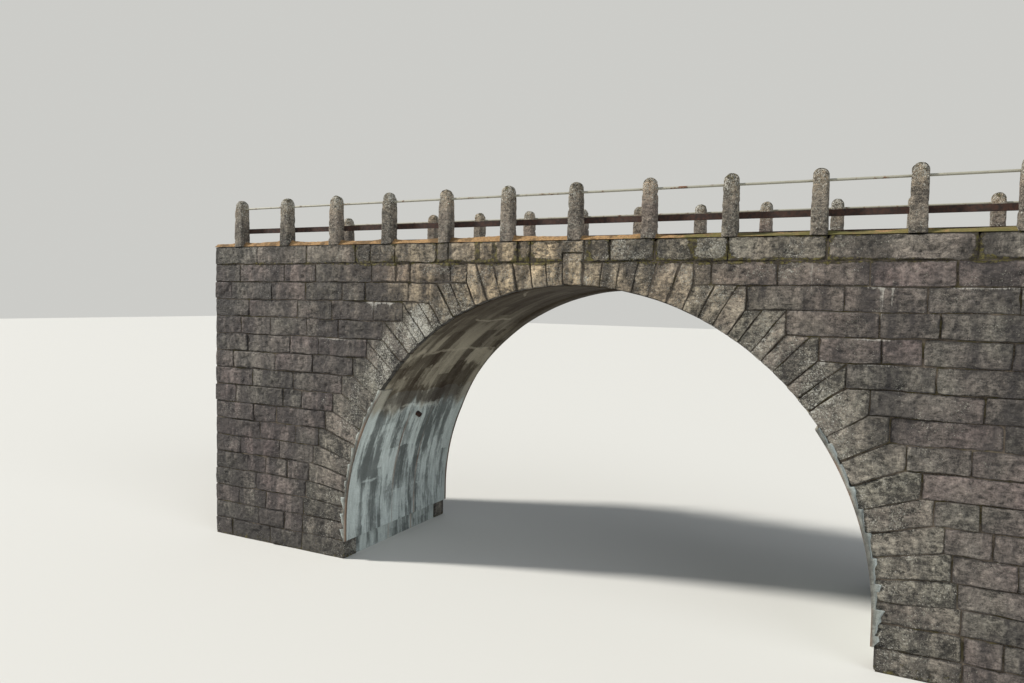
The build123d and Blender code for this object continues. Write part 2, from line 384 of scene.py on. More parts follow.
# %% Cast the concrete
def concrete(name, dark, pale, lime_colour):
    """Board-marked concrete with lime runs that follow the curve of the arch."""
    cast = Finish(name)
    cast.feed(cast.shader.inputs["Specular IOR Level"], 0.15)
    run, across, lime = cast.mark("run"), cast.mark("across"), cast.mark("lime").clipped()
    border, washed = cast.mark("border"), cast.mark("washed")
    grit = cast.grains(14.0, 6.0, 0.68)
    pores = cast.grains(60.0, 4.0, 0.7)

    def unrolled(stretch, lean, fray):
        """A place on the unrolled soffit, drawn out along the curve and frayed."""
        sockets = {"X": run * stretch + grit * fray, "Y": across + run * lean + grit * fray}
        return cast.node("ShaderNodeCombineXYZ", {}, sockets)

    def boards(length, width):
        """A tone from 0 to 1 for each board of the form."""
        sockets = {
            "Vector": unrolled(1.0, 0.03, 0.12), "Scale": 1.0, "Mortar Size": 0.0, "Bias": 0.0,
            "Color1": (0, 0, 0, 1), "Color2": (1, 1, 1, 1), "Brick Width": length, "Row Height": width,
        }
        tones = cast.node("ShaderNodeTexBrick", {"offset": 0.37, "offset_frequency": 3}, sockets, "Color")
        return cast.node("ShaderNodeRGBToBW", {}, {"Color": tones})

    board, block = boards(1.45, 0.19), boards(1.05, 0.47)
    clouds = cast.grains(1.3, 4.0, 0.6, place=unrolled(1.0, 0.0, 0.0))
    level = (clouds * 1.2 + board * 0.25 + block * 0.3 + grit * 0.4 - 0.72).clipped()
    ground = cast.blend(dark, cast.shade(lime_colour, 0.185), lime)
    fair = cast.blend(pale, cast.shade(lime_colour, 0.7), lime)
    colour = cast.blend(ground, cast.shade(fair, 0.8), level * (washed * 0.45 + 0.15))
    patches = cast.grains(1.6, 3.0, 0.5, place=unrolled(0.45, 0.04, 0.05))
    broad = cast.grains(4.5, 3.0, 0.5, place=unrolled(0.14, 0.02, 0.04))
    narrow = cast.grains(14.0, 4.0, 0.6, place=unrolled(0.2, 0.02, 0.05))
    sheet = (patches - 0.5) * 0.9 + (block - 0.5) * 0.25 + (board - 0.5) * 0.1 + (grit - 0.5) * 0.3
    sheet = sheet + (broad - 0.5) * (lime * 0.7 + 0.5) + (narrow - 0.5) * (lime * 0.5 + 0.15)
    sheet = sheet + cast.mark("panel") * 0.26 + border * 0.34 + lime * 0.03
    cover = sheet.above(-0.16, 0.3) * (washed * washed * 0.76 + 0.16)
    laid = cast.blend(pale, cast.shade(lime_colour, narrow * 0.8 + 0.6), lime)
    rust = (broad * cast.mark("rust")).above(0.3, 0.5)
    seam = (cast.mark("rim") * (grit + 0.55)).above(0.3, 0.8)
    colour = cast.layered(
        colour,
        (cast.shade(laid, 1.0 - border * 0.12), cover),
        (tone(128, 92, 64), rust * 0.45),
        (cast.shade(laid, 1.1), seam * 0.45),
    )
    colour = cast.shade(colour, pores.above(0.3, 0.7) * 0.4 + 0.8)
    relief = grit * 0.5 + pores * 0.25 + board * 0.15 + cover * 0.15 + seam * 0.3
    roughness = (pores * 0.1 + 0.82 - cover * 0.1).clipped()
    return cast.finish(base_color=colour, roughness=roughness, normal=cast.bump(relief, 0.012))


vault_concrete = concrete("vault_concrete", tone(49, 39, 28), tone(154, 147, 130), tone(176, 184, 180))
lining_concrete = concrete("lining_concrete", tone(62, 56, 50), tone(164, 161, 148), tone(188, 197, 194))
print("concrete: 2 kinds")

# %% [markdown]
# The pipe was painted a pale grey and rusts where the paint has gone, and the channel is bare rust
# that has turned dark. Neither is metallic, because rust and paint both scatter light.

# %% Paint and rust the rails
def rusted(name, paint, rust, deep, rust_from, rust_to):
    """Iron whose paint gives way to rust where the noise is high."""
    iron = Finish(name)
    patches = iron.grains(5.0, 6.0, 0.7)
    fine = iron.grains(90.0, 4.0, 0.7)
    bare = (patches + fine * 0.15).above(rust_from, rust_to)
    old = iron.blend(rust, deep, iron.grains(18.0, 4.0, 0.7).above(0.35, 0.65))
    coat = iron.shade(paint, 0.82 + iron.grains(12.0, 4.0) * 0.36)
    colour = iron.blend(coat, iron.shade(old, 0.7 + fine * 0.6), bare)
    normal = iron.bump(bare * 0.4 + fine * bare, 0.002)
    return iron.finish(base_color=colour, roughness=0.48 + bare * 0.36 + fine * 0.08, normal=normal)


pipe_paint = rusted("pipe_paint", tone(150, 148, 134), tone(118, 80, 52), tone(74, 50, 38), 0.64, 0.72)
channel_rust = rusted("channel_rust", tone(62, 46, 38), tone(66, 42, 32), tone(36, 27, 24), 0.3, 0.5)
print("rail finishes: 2")

# %% [markdown]
# The road is gravel with soil and fallen needles. The wheel tracks are worn grey, moss grows between
# them, and towards the edges the needles lie orange-brown. The mesh marks how much litter and moss lie
# where, and which points belong to the cut ends of the road, where the dark soil shows.

# %% Lay the gravel and needles
def gravel(name):
    """Gravel that disappears under soil and needles where the mesh says."""
    road = Finish(name)
    pebbles = road.flecks(38.0)
    tints = road.grains(45.0, 2.0)
    stones = road.blend(tone(96, 90, 82), tone(158, 150, 138), tints.above(0.35, 0.7))
    stones = road.shade(stones, 1.1 - pebbles * 0.9)
    litter = road.grains(60.0, 4.0, 0.75, stretch=(0.5, 1.0, 1.0))
    bare = road.grains(2.4, 5.0, 0.7).above(0.46, 0.6)
    needles = road.layered(
        tone(106, 82, 54), (tone(176, 140, 94), litter.above(0.35, 0.65)), (tone(72, 56, 32), bare * 0.75)
    )
    cover = (road.mark("litter") + road.grains(5.0, 5.0, 0.65) - 0.5).above(0.3, 0.62)
    moss = (road.grains(3.2, 5.0, 0.7) + road.mark("moss") * 0.2).above(0.64, 0.72)
    soil = road.shade(tone(86, 74, 60), pebbles * 0.6 + litter * 0.6 + 0.4)
    at_end = road.mark("rim").above(0.02, 0.3)
    colour = road.layered(stones, (needles, cover), (tone(84, 88, 40), moss * 0.7), (soil, at_end))
    relief = pebbles * -0.6 * (1 - cover * 0.7) + litter * 0.4
    normal = road.bump(relief, 0.012)
    return road.finish(base_color=colour, roughness=0.9 + litter * 0.1, normal=normal)


road_gravel = gravel("road_gravel")
print("gravel ready")

# %% [markdown]
# Rough stone needs noise in the shape itself, not only in the shader. This one takes whole arrays of
# points at once: each point's value is blended from hashed values at the eight corners of its lattice
# cell. It always gives the same result, so the model is the same in every run.

# %% Make noise for shapes
def hashed(corner, seed):
    """A repeatable number from 0 to 1 for each lattice corner."""
    mixed = corner[..., 0] * 374761393 + corner[..., 1] * 668265263 + corner[..., 2] * 1440662683
    mixed = (mixed + seed * 974711) & 0xFFFFFFFF
    mixed = ((mixed ^ (mixed >> 13)) * 1274126177) & 0xFFFFFFFF
    return ((mixed ^ (mixed >> 16)) & 0xFFFF) / 65535


def lumps(points, size, seed=0):
    """Smooth noise from -1 to 1 with lumps of a size."""
    cells = np.asarray(points, float) / size
    low = np.floor(cells)
    part = cells - low
    part = part * part * (3 - 2 * part)
    low = low.astype(np.int64)
    total = np.zeros(cells.shape[:-1])
    for number in range(8):
        corner = np.array([number & 1, number >> 1 & 1, number >> 2 & 1])
        weight = np.prod(np.where(corner, part, 1 - part), axis=-1)
        total += weight * hashed(low + corner, seed)
    return total * 2 - 1


def roughness_of(points, size, seed=0):
    """Three layers of lumps, each half as large and half as high as the one before."""
    layers = [lumps(points, size / 2**n, seed + n) / 2**n for n in range(3)]
    return sum(layers) / 1.75


print("noise at the origin:", round(float(lumps(np.zeros((1, 3)) + 0.37, 1.0)[0]), 4))

# %% [markdown]
# Pieces with many stones become one mesh each. A Masonry gathers points, faces and marks stone by
# stone and writes them in bulk, which is far quicker than adding objects one by one. It then hides
# the node that it stands for and rides on the body.

# %% Gather meshes in bulk
mark_names = (
    "tint", "rim", "damp", "lime", "moss", "lichen", "dust", "warm",
    "run", "across", "border", "washed", "panel", "rust", "litter", "ridge",
)
made_triangles = []


class Masonry:
    """The points, faces and marks of one piece."""

    def __init__(self):
        self.points, self.marks, self.faces, self.finishes = [], [], [], []

    def add(self, points, faces, finish=0, **marks):
        """Adds points, and faces as arrays of rows of point numbers."""
        count = sum(map(len, self.points))
        points = np.asarray(points, float).reshape(-1, 3)
        self.points.append(points)
        self.marks.append({name: np.broadcast_to(value, len(points)) for name, value in marks.items()})
        for rows in faces:
            self.faces.append(rows + count)
            self.finishes.append(np.full(len(rows), finish))

    def sweep(self, rings, turned, finish=0, **marks):
        """Adds a skin over a row of rings of points, as many in each, with a cap on both ends."""
        numbers = np.arange(rings[..., 0].size).reshape(rings.shape[:2])
        first, second = numbers, np.roll(numbers, -1, axis=1)
        sides = np.stack([first[:-1], second[:-1], second[1:], first[1:]], axis=-1).reshape(-1, 4)
        faces = [sides, numbers[:1, ::-1], numbers[-1:]]
        self.add(rings, [rows[:, ::-1] for rows in faces] if turned else faces, finish, **marks)

    def build(self, name, materials, nodes, slot, crease=38):
        """Writes the mesh and puts the piece in the place of its nodes."""
        points = np.concatenate(self.points)
        corners = np.concatenate([rows.ravel() for rows in self.faces])
        totals = np.concatenate([np.full(len(rows), rows.shape[1]) for rows in self.faces])
        mesh = bpy.data.meshes.new(name)
        for elements, count, values in (
            (mesh.vertices, len(points), {"co": points}),
            (mesh.loops, len(corners), {"vertex_index": corners}),
            (mesh.polygons, len(totals), {
                "loop_start": np.cumsum(totals) - totals, "loop_total": totals,
                "material_index": np.concatenate(self.finishes), "use_smooth": totals > 0,
            }),
        ):
            elements.add(count)
            for field, value in values.items():
                elements.foreach_set(field, value.ravel())
        mesh.update()
        mesh.validate()
        for mark in mark_names:
            if any(mark in marks for marks in self.marks):
                values = [m.get(mark, np.zeros(len(p))) for m, p in zip(self.marks, self.points)]
                layer = mesh.attributes.new(mark, "FLOAT", "POINT")
                layer.data.foreach_set("value", np.concatenate(values).astype(np.float32))
        mesh.set_sharp_from_angle(angle=radians(crease))
        for material in materials:
            mesh.materials.append(material)
        piece = bpy.data.objects.new(name, mesh)
        bpy.context.scene.collection.objects.link(piece)
        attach(piece, "root")
        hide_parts(*nodes)
        made_triangles.append(int((totals - 2).sum()))
        print(f"{name}: {made_triangles[-1]} triangles")


print("masonry ready")

# %% [markdown]
# Where each kind of weather lies on the walls was read off the photograph and is kept as a few named
# places in metres from the middle of the arch. Everything else is spread by noise, on all sides. Some
# marks also carry painted light: sunlight on the crown and coping, and shade under the arch, on the
# left of the front face and at its right end.

# %% Say where the weather lies
# Dark bands below the coping; the wide one at the right end is partly painted shade.
damp_and_shade_bands = ((-4.45, 0.3), (-2.75, 0.25), (-1.0, 0.12), (0.62, 0.15), (4.75, 0.3), (6.45, 0.5))
lime_drips = (
    (3.92, 6.1, 0.85, 0.022), (4.02, 6.05, 0.5, 0.018), (4.9, 5.75, 0.75, 0.03), (5.05, 5.75, 0.6, 0.025),
    (4.12, 4.65, 0.4, 0.03), (-4.3, 5.4, 0.3, 0.12), (-3.9, 5.4, 0.2, 0.05),
)  # place from the middle, top, length, width
lime_beds = ((2, 4.6, 8.6), (4, 3.9, 5.2), (5, 3.7, 6.2), (6, 4.4, 5.4), (3, -4.6, -3.6), (5, -6.0, -4.5))
moss_tufts = (-4.45, -3.9, -2.6, -1.6, -0.95, -0.6, 1.45, 2.3, 2.75, 3.4, 4.2, 6.2)
moss_beards = (-4.75, -3.78, -2.82, -1.9, -1.55, -1.08, -0.83, -0.3, 0.3, 0.675, 1.47, 2.1, 2.66, 4.14, 6.09)


def near(value, middle, reach):
    """1 at the middle, falling smoothly to nothing a few reaches away."""
    return np.exp(-(((value - middle) / reach) ** 2))


def ramp(value, width=1):
    """0 for values below 0, 1 for values above the width, and a straight rise between."""
    return np.clip(value / width, 0, 1)


def weather(points):
    """Marks for damp with painted shade, lime, moss, lichen, and warmth with painted sunlight at points of
    the walls.
    """
    x, y, z = points.T
    front = y < -half_width + 0.5
    reach = np.hypot(x, np.maximum(z - springing, 0))
    ring = 1 - ramp(reach - arch_radius - 0.5, 0.3)
    uneven = 0.6 + 0.7 * lumps(points, 0.4, 14)

    damp = 0.3 + 0.35 * lumps(points, 1.3, 11)
    for place, width in damp_and_shade_bands:
        damp = damp + front * near(x, place, width) * ramp(z - 4.2, 1.8) * 0.6
    # Darker near the ground, and towards the left of the front face, where the darkening is painted shade.
    damp = damp + 0.35 * ramp(1.2 - z, 1.2) + front * 0.4 * ramp(-x - 2.6, 1.2)

    lime = np.zeros(len(points))
    for place, top, length, width in lime_drips:
        wander = place + 0.02 * lumps(points * (0, 0, 1) + place, 0.15, 15)
        below = ramp(top - z, length)
        lime = lime + front * near(x, wander, width) * (below > 0) * (1 - below) ** 0.6
    for course, start, end in lime_beds:
        edge = near(z, bed(course) - 0.015, 0.034) * ramp(uneven)
        lime = lime + front * ramp(x - start, 0.2) * ramp(end - x, 0.2) * edge * 0.9

    moss = (0.85 * near(z, bed(1), 0.045) + 0.5 * near(z, deck, 0.05)) * (0.6 + 0.8 * lumps(points, 0.35, 13))
    for place in moss_tufts:
        moss = moss + front * near(x, place, 0.2) * near(z, bed(1), 0.07) * 0.9
    beard = ramp(0.7 + 0.9 * lumps(points, 0.16, 16)) * (z > bed(1) + 0.02)
    for place in moss_beards:
        width = np.maximum(0.06 * (1 + 0.8 * lumps(points * (0, 0, 1) + place, 0.2, 17)), 0.02)
        moss = moss + front * near(x, place, width) * beard * 1.05
    moss = moss + 0.45 * ramp(0.7 - z, 0.7)

    grown = ring * near(x, -3.0, 1.5) * 0.75 * np.sqrt(np.clip(uneven, 0, 2))
    grown = grown + near(x, -2.75, 0.3) * near(z, bed(2) + 0.25, 0.15) * 0.6
    grown = grown + near(x, 3.3, 0.9) * near(z, bed(2) + 0.2, 0.22) * 0.45 * uneven
    grown = grown + (ring * near(x, 4.1, 0.7) * 0.32 + near(x, 1.2, 1.5) * (z > bed(1)) * 0.4) * uneven
    lichen = 0.1 + 0.2 * lumps(points, 0.8, 12) + 0.12 * ring + front * grown

    # Warm beige on the crown and coping of the front: partly a warm tint, partly painted sunlight.
    warm = front * ramp(z - 4.6, 0.9) * near(x, -0.9, 3.1) * ramp(0.8 + 0.6 * lumps(points, 0.7, 18))
    # Under the arch the soffits of the ring stones are darkened with damp and painted shade, and get no
    # growth.
    under = (reach < arch_radius + 0.03) * ramp(half_width - 0.05 - np.abs(y), 0.02)
    under = under * ramp(z - lining_foot, 0.1)
    dry = 1 - under
    return {
        "damp": np.clip(damp + under * 0.9, 0, 1.4), "lime": ramp(lime), "moss": ramp(moss * dry),
        "lichen": ramp(lichen * dry), "warm": ramp(warm * dry),
    }


print("weather:", len(damp_and_shade_bands), "damp bands,", len(lime_drips), "drips")

# %% [markdown]
# One rock-faced stone. Its outline is four sides, each a line of corners, and a patch blended between
# them (a Coons patch) carries the grid of its face, so that a plain block, a wedge with a stepped back
# and a coping stone notched for the keystone all come from the same function. The face rises from the
# arris at a steep slope and is cut off by a few tilted planes, as a mason's pitching leaves it, and
# noise roughens it. Sides that show, such as an end of the wall or the soffit, are carried in as far
# as the stone reaches, and the other sides only a little way into the joint. A displacement of one
# flat wall would be simpler, but it could not give each stone its own arrises and open joints.

# %% Cut one stone
joint_gap = 0.006  # from a stone's outline to its arris
arris_depth = 0.050  # of the arris behind the face
skin_margin = 0.002  # kept free in front of the highest point
highest = arris_depth - skin_margin
joint_depth = 0.057  # of the joint filling behind the face
rim_width = 0.03  # of the worn strip along the arrises
cutting_planes = 6
side_order = ("bottom", "right", "top", "left")


class Elevation:
    """A side of the bridge, with the direction along it and the way it looks."""

    def __init__(self, origin, along, out):
        self.origin, self.along, self.out = np.array((origin, along, out), float)
        self.mirrored = np.cross(self.along, (0, 0, 1)) @ self.out < 0

    def place(self, flat, outward):
        """Points in space from points on the elevation and their distance in front of it."""
        outward = np.broadcast_to(outward, flat.shape[:-1])[..., None]
        return self.origin + flat[..., :1] * self.along + flat[..., 1:] * (0, 0, 1) + outward * self.out


def travelled(line):
    """Distance from the start of a line of corners to each of them."""
    return np.concatenate([[0], np.cumsum(np.linalg.norm(np.diff(line, axis=0), axis=1))])


def sample(line, shares):
    """Points at shares of the length of a line of corners."""
    reach = travelled(line)
    return np.stack([np.interp(shares * reach[-1], reach, part) for part in np.transpose(line)], axis=-1)


def grid_lines(sides, inset_low, inset_high, step):
    """Shares of a side's length for the grid: close together near the arrises, and through every corner."""
    length = sum(travelled(side)[-1] for side in sides) / 2
    low, high = inset_low, length - inset_high
    if high - low < 0.14:
        lines = np.linspace(low, high, 5)
    else:
        inner_low, inner_high = low + rim_width, high - rim_width
        inner = np.linspace(inner_low, inner_high, max(2, ceil((inner_high - inner_low) / step) + 1))
        lines = np.concatenate([[low, low + 0.012], inner, [high - 0.012, high]])
    shares = lines / length
    for side in sides:
        if 2 < len(side) <= 4:
            for corner in travelled(side)[1:-1] / travelled(side)[-1]:
                shares[1 + np.argmin(np.abs(shares[1:-1] - corner))] = corner
    return np.sort(shares)


def patch(outline, across, upward):
    """Points of the Coons patch between four sides, at shares across and upward."""
    bottom, top = (sample(outline[side], across)[:, None] for side in ("bottom", "top"))
    left, right = (sample(outline[side], upward)[None] for side in ("left", "right"))
    s, t = across[:, None, None], upward[None, :, None]
    ruled = (1 - t) * bottom + t * top + (1 - s) * left + s * right
    corners = [np.array(outline[side][end], float) for side in ("bottom", "top") for end in (0, -1)]
    weights = [a * b for b in (1 - t, t) for a in (1 - s, s)]
    return ruled - sum(weight * corner for weight, corner in zip(weights, corners))


def pitched(rng, flat, distance, height, fall):
    """Height of a pitched face: a shoulder, a steep rim and a few tilted planes that cut it off."""
    middle, half = flat.mean((0, 1)), np.ptp(flat, axis=(0, 1)) / 2
    level = np.full(flat.shape[:-1], height)
    for _ in range(cutting_planes):
        turn = rng.uniform(0, 2 * pi)
        direction = np.array([cos(turn), sin(turn)])
        slope = height * fall * rng.uniform(0.3, 1.3) / (np.abs(direction) @ half)
        point = middle + half * rng.uniform(-0.7, 0.7, 2)
        level = np.minimum(level, height * rng.uniform(0.75, 1.05) - (flat - point) @ direction * slope)
    shoulder = height * rng.uniform(0.05, 0.55)
    return np.clip(np.minimum(level, shoulder + distance * rng.uniform(0.7, 1.7)), 0, height)


def side_distances(grid):
    """Distances of grid points from the left, right, bottom and top sides, along the grid's lines."""
    across, upward = (np.linalg.norm(np.diff(grid, axis=axis), axis=-1) for axis in (0, 1))
    from_left = np.pad(np.cumsum(across, axis=0), ((1, 0), (0, 0)))
    from_bottom = np.pad(np.cumsum(upward, axis=1), ((0, 0), (1, 0)))
    return from_left, from_left[-1:] - from_left, from_bottom, from_bottom[:, -1:] - from_bottom


def settle(view, flat):
    """Lets beds and joints wander a little where they are clear of the bridge's edges."""
    spots, along, level = view.place(flat, 0), flat[..., 0], flat[..., 1]
    reach = np.hypot(along, np.maximum(level - springing, 0))
    free = ramp(reach - arch_radius, 0.4) * ramp(level, 0.4)
    free *= ramp(deck - 0.03 - level, 0.35) * ramp(half_length - 0.07 - along, 0.4)
    drift = np.stack([0.012 * lumps(spots, 0.35, 61), 0.014 * lumps(spots, 0.5, 62)], axis=-1)
    return flat + drift * free[..., None]


def wear(view, flat, seed):
    """Chips the arrises of a stone and rounds its corners, in its own plane."""
    left, right, bottom, top = side_distances(flat)
    chips = 0.002 + 0.022 * np.clip(roughness_of(view.place(flat, 0), 0.12, seed) + 0.05, 0, 1.3)
    chips *= 1 + 0.9 * np.exp(-(np.minimum(left, right) + np.minimum(bottom, top)) / rim_width)
    worn = flat
    for axis, (low, high) in enumerate(((left, right), (bottom, top))):
        inward = np.gradient(flat, axis=axis)
        inward /= np.linalg.norm(inward, axis=-1, keepdims=True)
        push = (np.exp(-low / rim_width) - np.exp(-high / rim_width)) * chips
        worn = worn + inward * push[..., None]
    return worn


def around(numbers):
    """Grid numbers of the rim, anticlockwise from the bottom left, and the side that each is on."""
    sides = [numbers[:-1, 0], numbers[-1, :-1], numbers[:0:-1, -1], numbers[0, :0:-1]]
    return np.concatenate(sides), np.repeat(np.arange(4), [len(side) for side in sides])


def ridges(face):
    """From -1 in the hollows of a face to 1 on its ridges."""
    padded = np.pad(face, 2, mode="edge")
    rows, columns = face.shape
    mean = sum(padded[i : i + rows, j : j + columns] for i in range(5) for j in range(5)) / 25
    return np.clip((face - mean) / 0.007, -1, 1)


def rock_face(rng, view, flat, fall, seed):
    """How far the face of a stone stands out, and the distance of each point from the nearest arris."""
    distance = np.min(side_distances(flat), axis=0)
    seat = view.place(flat, 0)
    rim_rough = 1 + 0.5 * lumps(seat, 0.07, seed)
    face = pitched(rng, flat, distance * rim_rough, highest * rng.uniform(0.7, 0.95), fall)
    bite = ramp(distance, rim_width)
    face = face + bite * (0.034 * roughness_of(seat, 0.17, seed) + 0.014 * lumps(seat, 0.055, seed + 5))
    chips = ramp(roughness_of(seat, 0.11, seed + 7) - 0.4) * 0.06
    return np.clip(face - chips * bite, 0, highest), distance


def carried_in(view, rim, rim_side, shown, depth, seed):
    """Rings of points that carry the rim of a stone inward, with relief on the sides that show."""
    after = np.roll(rim, -1, axis=0)
    tangent = after - np.roll(rim, 1, axis=0)
    tangent /= np.linalg.norm(tangent, axis=1)[:, None]
    outward = np.stack([tangent[:, 1], -tangent[:, 0]], axis=1)
    levels = list(np.linspace(0, depth, max(2, ceil(depth / 0.06)) + 1)) if shown else [0, depth]
    if len(levels) > 3:
        levels.insert(1, 0.02)
    rings, rims = [], []
    for level in levels[1:]:
        bulge, fade = np.zeros(len(rim)), np.ones(len(rim))
        for number, side in enumerate(side_order):
            if side not in shown:
                continue
            on_side, relief = np.flatnonzero(rim_side == number), shown[side][1]
            travel = travelled(rim[on_side])
            span = travel[-1] + np.linalg.norm(after[on_side[-1]] - rim[on_side[-1]])
            away = np.minimum(np.minimum(travel, span - travel), level)
            spot = view.place(rim[on_side], -arris_depth - level)
            rise = np.minimum(away * 1.1, relief * 0.8)
            rise = rise * (0.75 + 0.5 * lumps(spot, 0.25, seed + 20 + number))
            rise = rise + ramp(away, rim_width) * relief * 0.2 * roughness_of(spot, 0.15, seed + 3)
            bulge[on_side] = np.clip(rise, 0, relief)
            fade[on_side] = np.exp(-away / rim_width)
        rings.append(view.place(rim + outward * bulge[:, None], -arris_depth - level))
        rims.append(fade)
    return rings, rims


def cut_stone(masonry, view, outline, rng, shown=(), depth=0.10, step=0.03, tint=None, fall=1.0, snug=0.2):
    """Adds one stone. Shown names the sides to carry in, with (setback, relief) for each."""
    open_gaps = joint_gap * rng.uniform((0.4, snug, 0.4, snug), (1.4, 2.4, 1.4, 2.4))
    insets = [shown[side][0] if side in shown else gap for side, gap in zip(side_order, open_gaps)]
    across = grid_lines((outline["bottom"], outline["top"]), insets[3], insets[1], step)
    upward = grid_lines((outline["left"], outline["right"]), insets[0], insets[2], step)
    seed = int(rng.integers(1, 9999))
    flat = wear(view, settle(view, patch(outline, across, upward)), seed)
    face, distance = rock_face(rng, view, flat, fall, seed)
    numbers = np.arange(face.size).reshape(face.shape)
    ring, ring_side = around(numbers)
    rings, ring_rims = carried_in(view, flat.reshape(-1, 2)[ring], ring_side, shown, depth, seed)
    points = np.concatenate([view.place(flat, face - arris_depth).reshape(-1, 3), *rings])

    quads = np.stack([numbers[:-1, :-1], numbers[1:, :-1], numbers[1:, 1:], numbers[:-1, 1:]], axis=-1)
    faces, upper = [quads.reshape(-1, 4)], ring
    for number in range(len(rings)):
        lower = face.size + number * len(ring) + np.arange(len(ring))
        faces.append(np.stack([upper, lower, np.roll(lower, -1), np.roll(upper, -1)], axis=-1))
        upper = lower
    faces.append(upper[::-1][None, :])
    if view.mirrored:
        faces = [rows[:, ::-1] for rows in faces]
    tint = rng.uniform(0, 1) if tint is None else tint
    rims = np.concatenate([np.exp(-distance.ravel() / 0.028), *ring_rims])
    hidden = (0, len(points) - face.size)
    # Pale top edge of the stone: dust, and a painted highlight where light catches it.
    dust = np.pad((np.exp(-side_distances(flat)[3] / rim_width) * rng.uniform(0, 1)).ravel(), hidden)
    # Hollows and ridges of the face, which the granite paints with shade and highlight.
    ridge = np.pad(ridges(face).ravel(), hidden)
    masonry.add(points, faces, tint=tint, rim=rims, dust=dust, ridge=ridge, **weather(points))


print("stone cutter ready")

# %% [markdown]
# The stones of a wall stand in courses of one height, and no upright joint runs on from one course to
# the next. The joints that the photograph shows are given, and the rest are drawn at random from a
# fixed seed, away from the joints above. Behind the stones the node's own solid, drawn back a little,
# closes the open joints.

# %% Divide the courses
front_joints = {
    ("right", 2): (2.42, 3.43, 4.73, 5.85), ("right", 3): (4.39, 5.5), ("right", 4): (4.89,),
    ("right", 5): (4.93,), ("right", 6): (5.65,),
    ("left", 2): (2.50, 3.40, 3.75, 4.35), ("left", 3): (3.45,), ("left", 4): (4.30,),
}  # distances from the middle, for each side and course
coping_joints = {
    "front": (-7.45, -6.05, -4.75, -4.38, -3.78, -2.82, -2.55, -1.08, -0.83, None, 0.675, 1.47,
              2.66, 4.14, 6.09, 7.4),
    "back": (-7.2, -5.9, -4.3, -3.1, -1.75, -0.72, None, 0.95, 2.05, 3.4, 4.6, 6.0, 7.5),
}  # None stands for the keystone


def divide(start, end, rng, given=(), above=(), shortest=0.5, longest=1.5):
    """Upright joints from start to end: the given ones, and then random ones clear of those above."""
    joints = [start, *[v for v in given if start + 0.25 < v < end - 0.4]]
    while end - joints[-1] > longest:
        for _ in range(30):
            place = joints[-1] + rng.uniform(shortest, longest)
            if end - place > shortest and all(abs(place - v) > 0.15 for v in above):
                break
        if end - place < shortest:
            break
        joints.append(place)
    return [*joints, end]


def quad(start, end, low, high):
    """Outline of an upright rectangle."""
    corners = ((start, low), (end, low), (end, high), (start, high))
    rows = {"bottom": (0, 1), "right": (1, 2), "top": (3, 2), "left": (0, 3)}
    return {side: [corners[a], corners[b]] for side, (a, b) in rows.items()}


def set_stones(masonry, node, kind, ending="stones"):
    """Fills the joints with the node's own solid, drawn back behind the arrises, and builds the piece."""
    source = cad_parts[node].data
    source.calc_loop_triangles()
    points = np.array([vertex.co for vertex in source.vertices], float)
    limit = np.array([half_length, half_width, deck]) - joint_depth
    points = np.clip(points, -limit, limit)
    rise = np.maximum(points[:, 2] - springing, 0)
    reach = np.maximum(np.hypot(points[:, 0], rise), 1e-6)
    scale = np.maximum(1, (arch_radius + 0.03) / reach)
    points[:, 0] *= scale
    points[:, 2] = np.where(rise > 0, springing + rise * scale, points[:, 2])
    masonry.add(points, [np.array([triangle.vertices for triangle in source.loop_triangles])], 1)
    masonry.build(f"{node}_{ending}", [granites[kind], joint_packing], [node], f"{kind}_stone")


def quoin_depth(course):
    """How far the corner stone of a course reaches along the end: long and short by turns."""
    return 2 * wall_depth if course % 2 else wall_depth


both_faces = (("front", -1), ("back", 1))
both_hands = (("left", -1), ("right", 1))
elevations = {}
for hand, way in both_hands:
    elevations["end", hand] = Elevation((way * half_length, 0, 0), (0, 1, 0), (way, 0, 0))
    for face, side in both_faces:
        elevations[face, hand] = Elevation((0, side * half_width, 0), (way, 0, 0), (0, side, 0))
grid_steps = {"front": 0.031, "back": 0.046, "end": 0.05}
end_relief = (arris_depth, 0.05)
print("elevations:", len(elevations))

# %% [markdown]
# Walls first. Each course runs from the upright end of the ring to the corner of the bridge, where the
# last stone turns the corner and shows its end as well. One loop serves all four walls, because the
# left ones are built as mirror images and the back ones only have other joints.

# %% Build the spandrels and abutments
last_spandrel_course = round((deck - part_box("front_spandrel_right")[0].z) / course_height)
wall_parts = (("spandrel", 2, last_spandrel_course), ("abutment", last_spandrel_course + 1, bottom_course))
for (face, _), (hand, _) in product(both_faces, both_hands):
    rng = np.random.default_rng(100 + 10 * (face == "back") + (hand == "left"))
    joints = ()
    for part, first, last in wall_parts:
        wall = Masonry()
        for course in range(first, last + 1):
            given = front_joints.get((hand, course), ()) if face == "front" else ()
            joints = divide(ring_end(course), half_length, rng, given, joints)
            for start, end in pairwise(joints):
                corner = end == half_length
                cut_stone(
                    wall, elevations[face, hand], quad(start, end, bed(course), bed(course - 1)), rng,
                    shown={"right": end_relief} if corner else (),
                    depth=quoin_depth(course) - arris_depth if corner else 0.10,
                    step=grid_steps[face],
                )
        set_stones(wall, f"{face}_{part}_{hand}", "wall")

# %% [markdown]
# The ring comes next. In each course the wedge-shaped stones lie between the joints that run to the
# corners of the steps. Their tops are level under the bed, and the last stone of a course stands
# upright against the wall. Lower down one stone fills a course, and the jambs are plain blocks.

# %% Build the stepped ring
stones_in_course = {2: 6, 3: 3, 4: 3, 5: 2, 6: 2}
soffit_relief = (0.005, 0.005)
ring_depth = wall_depth - arris_depth - 0.004


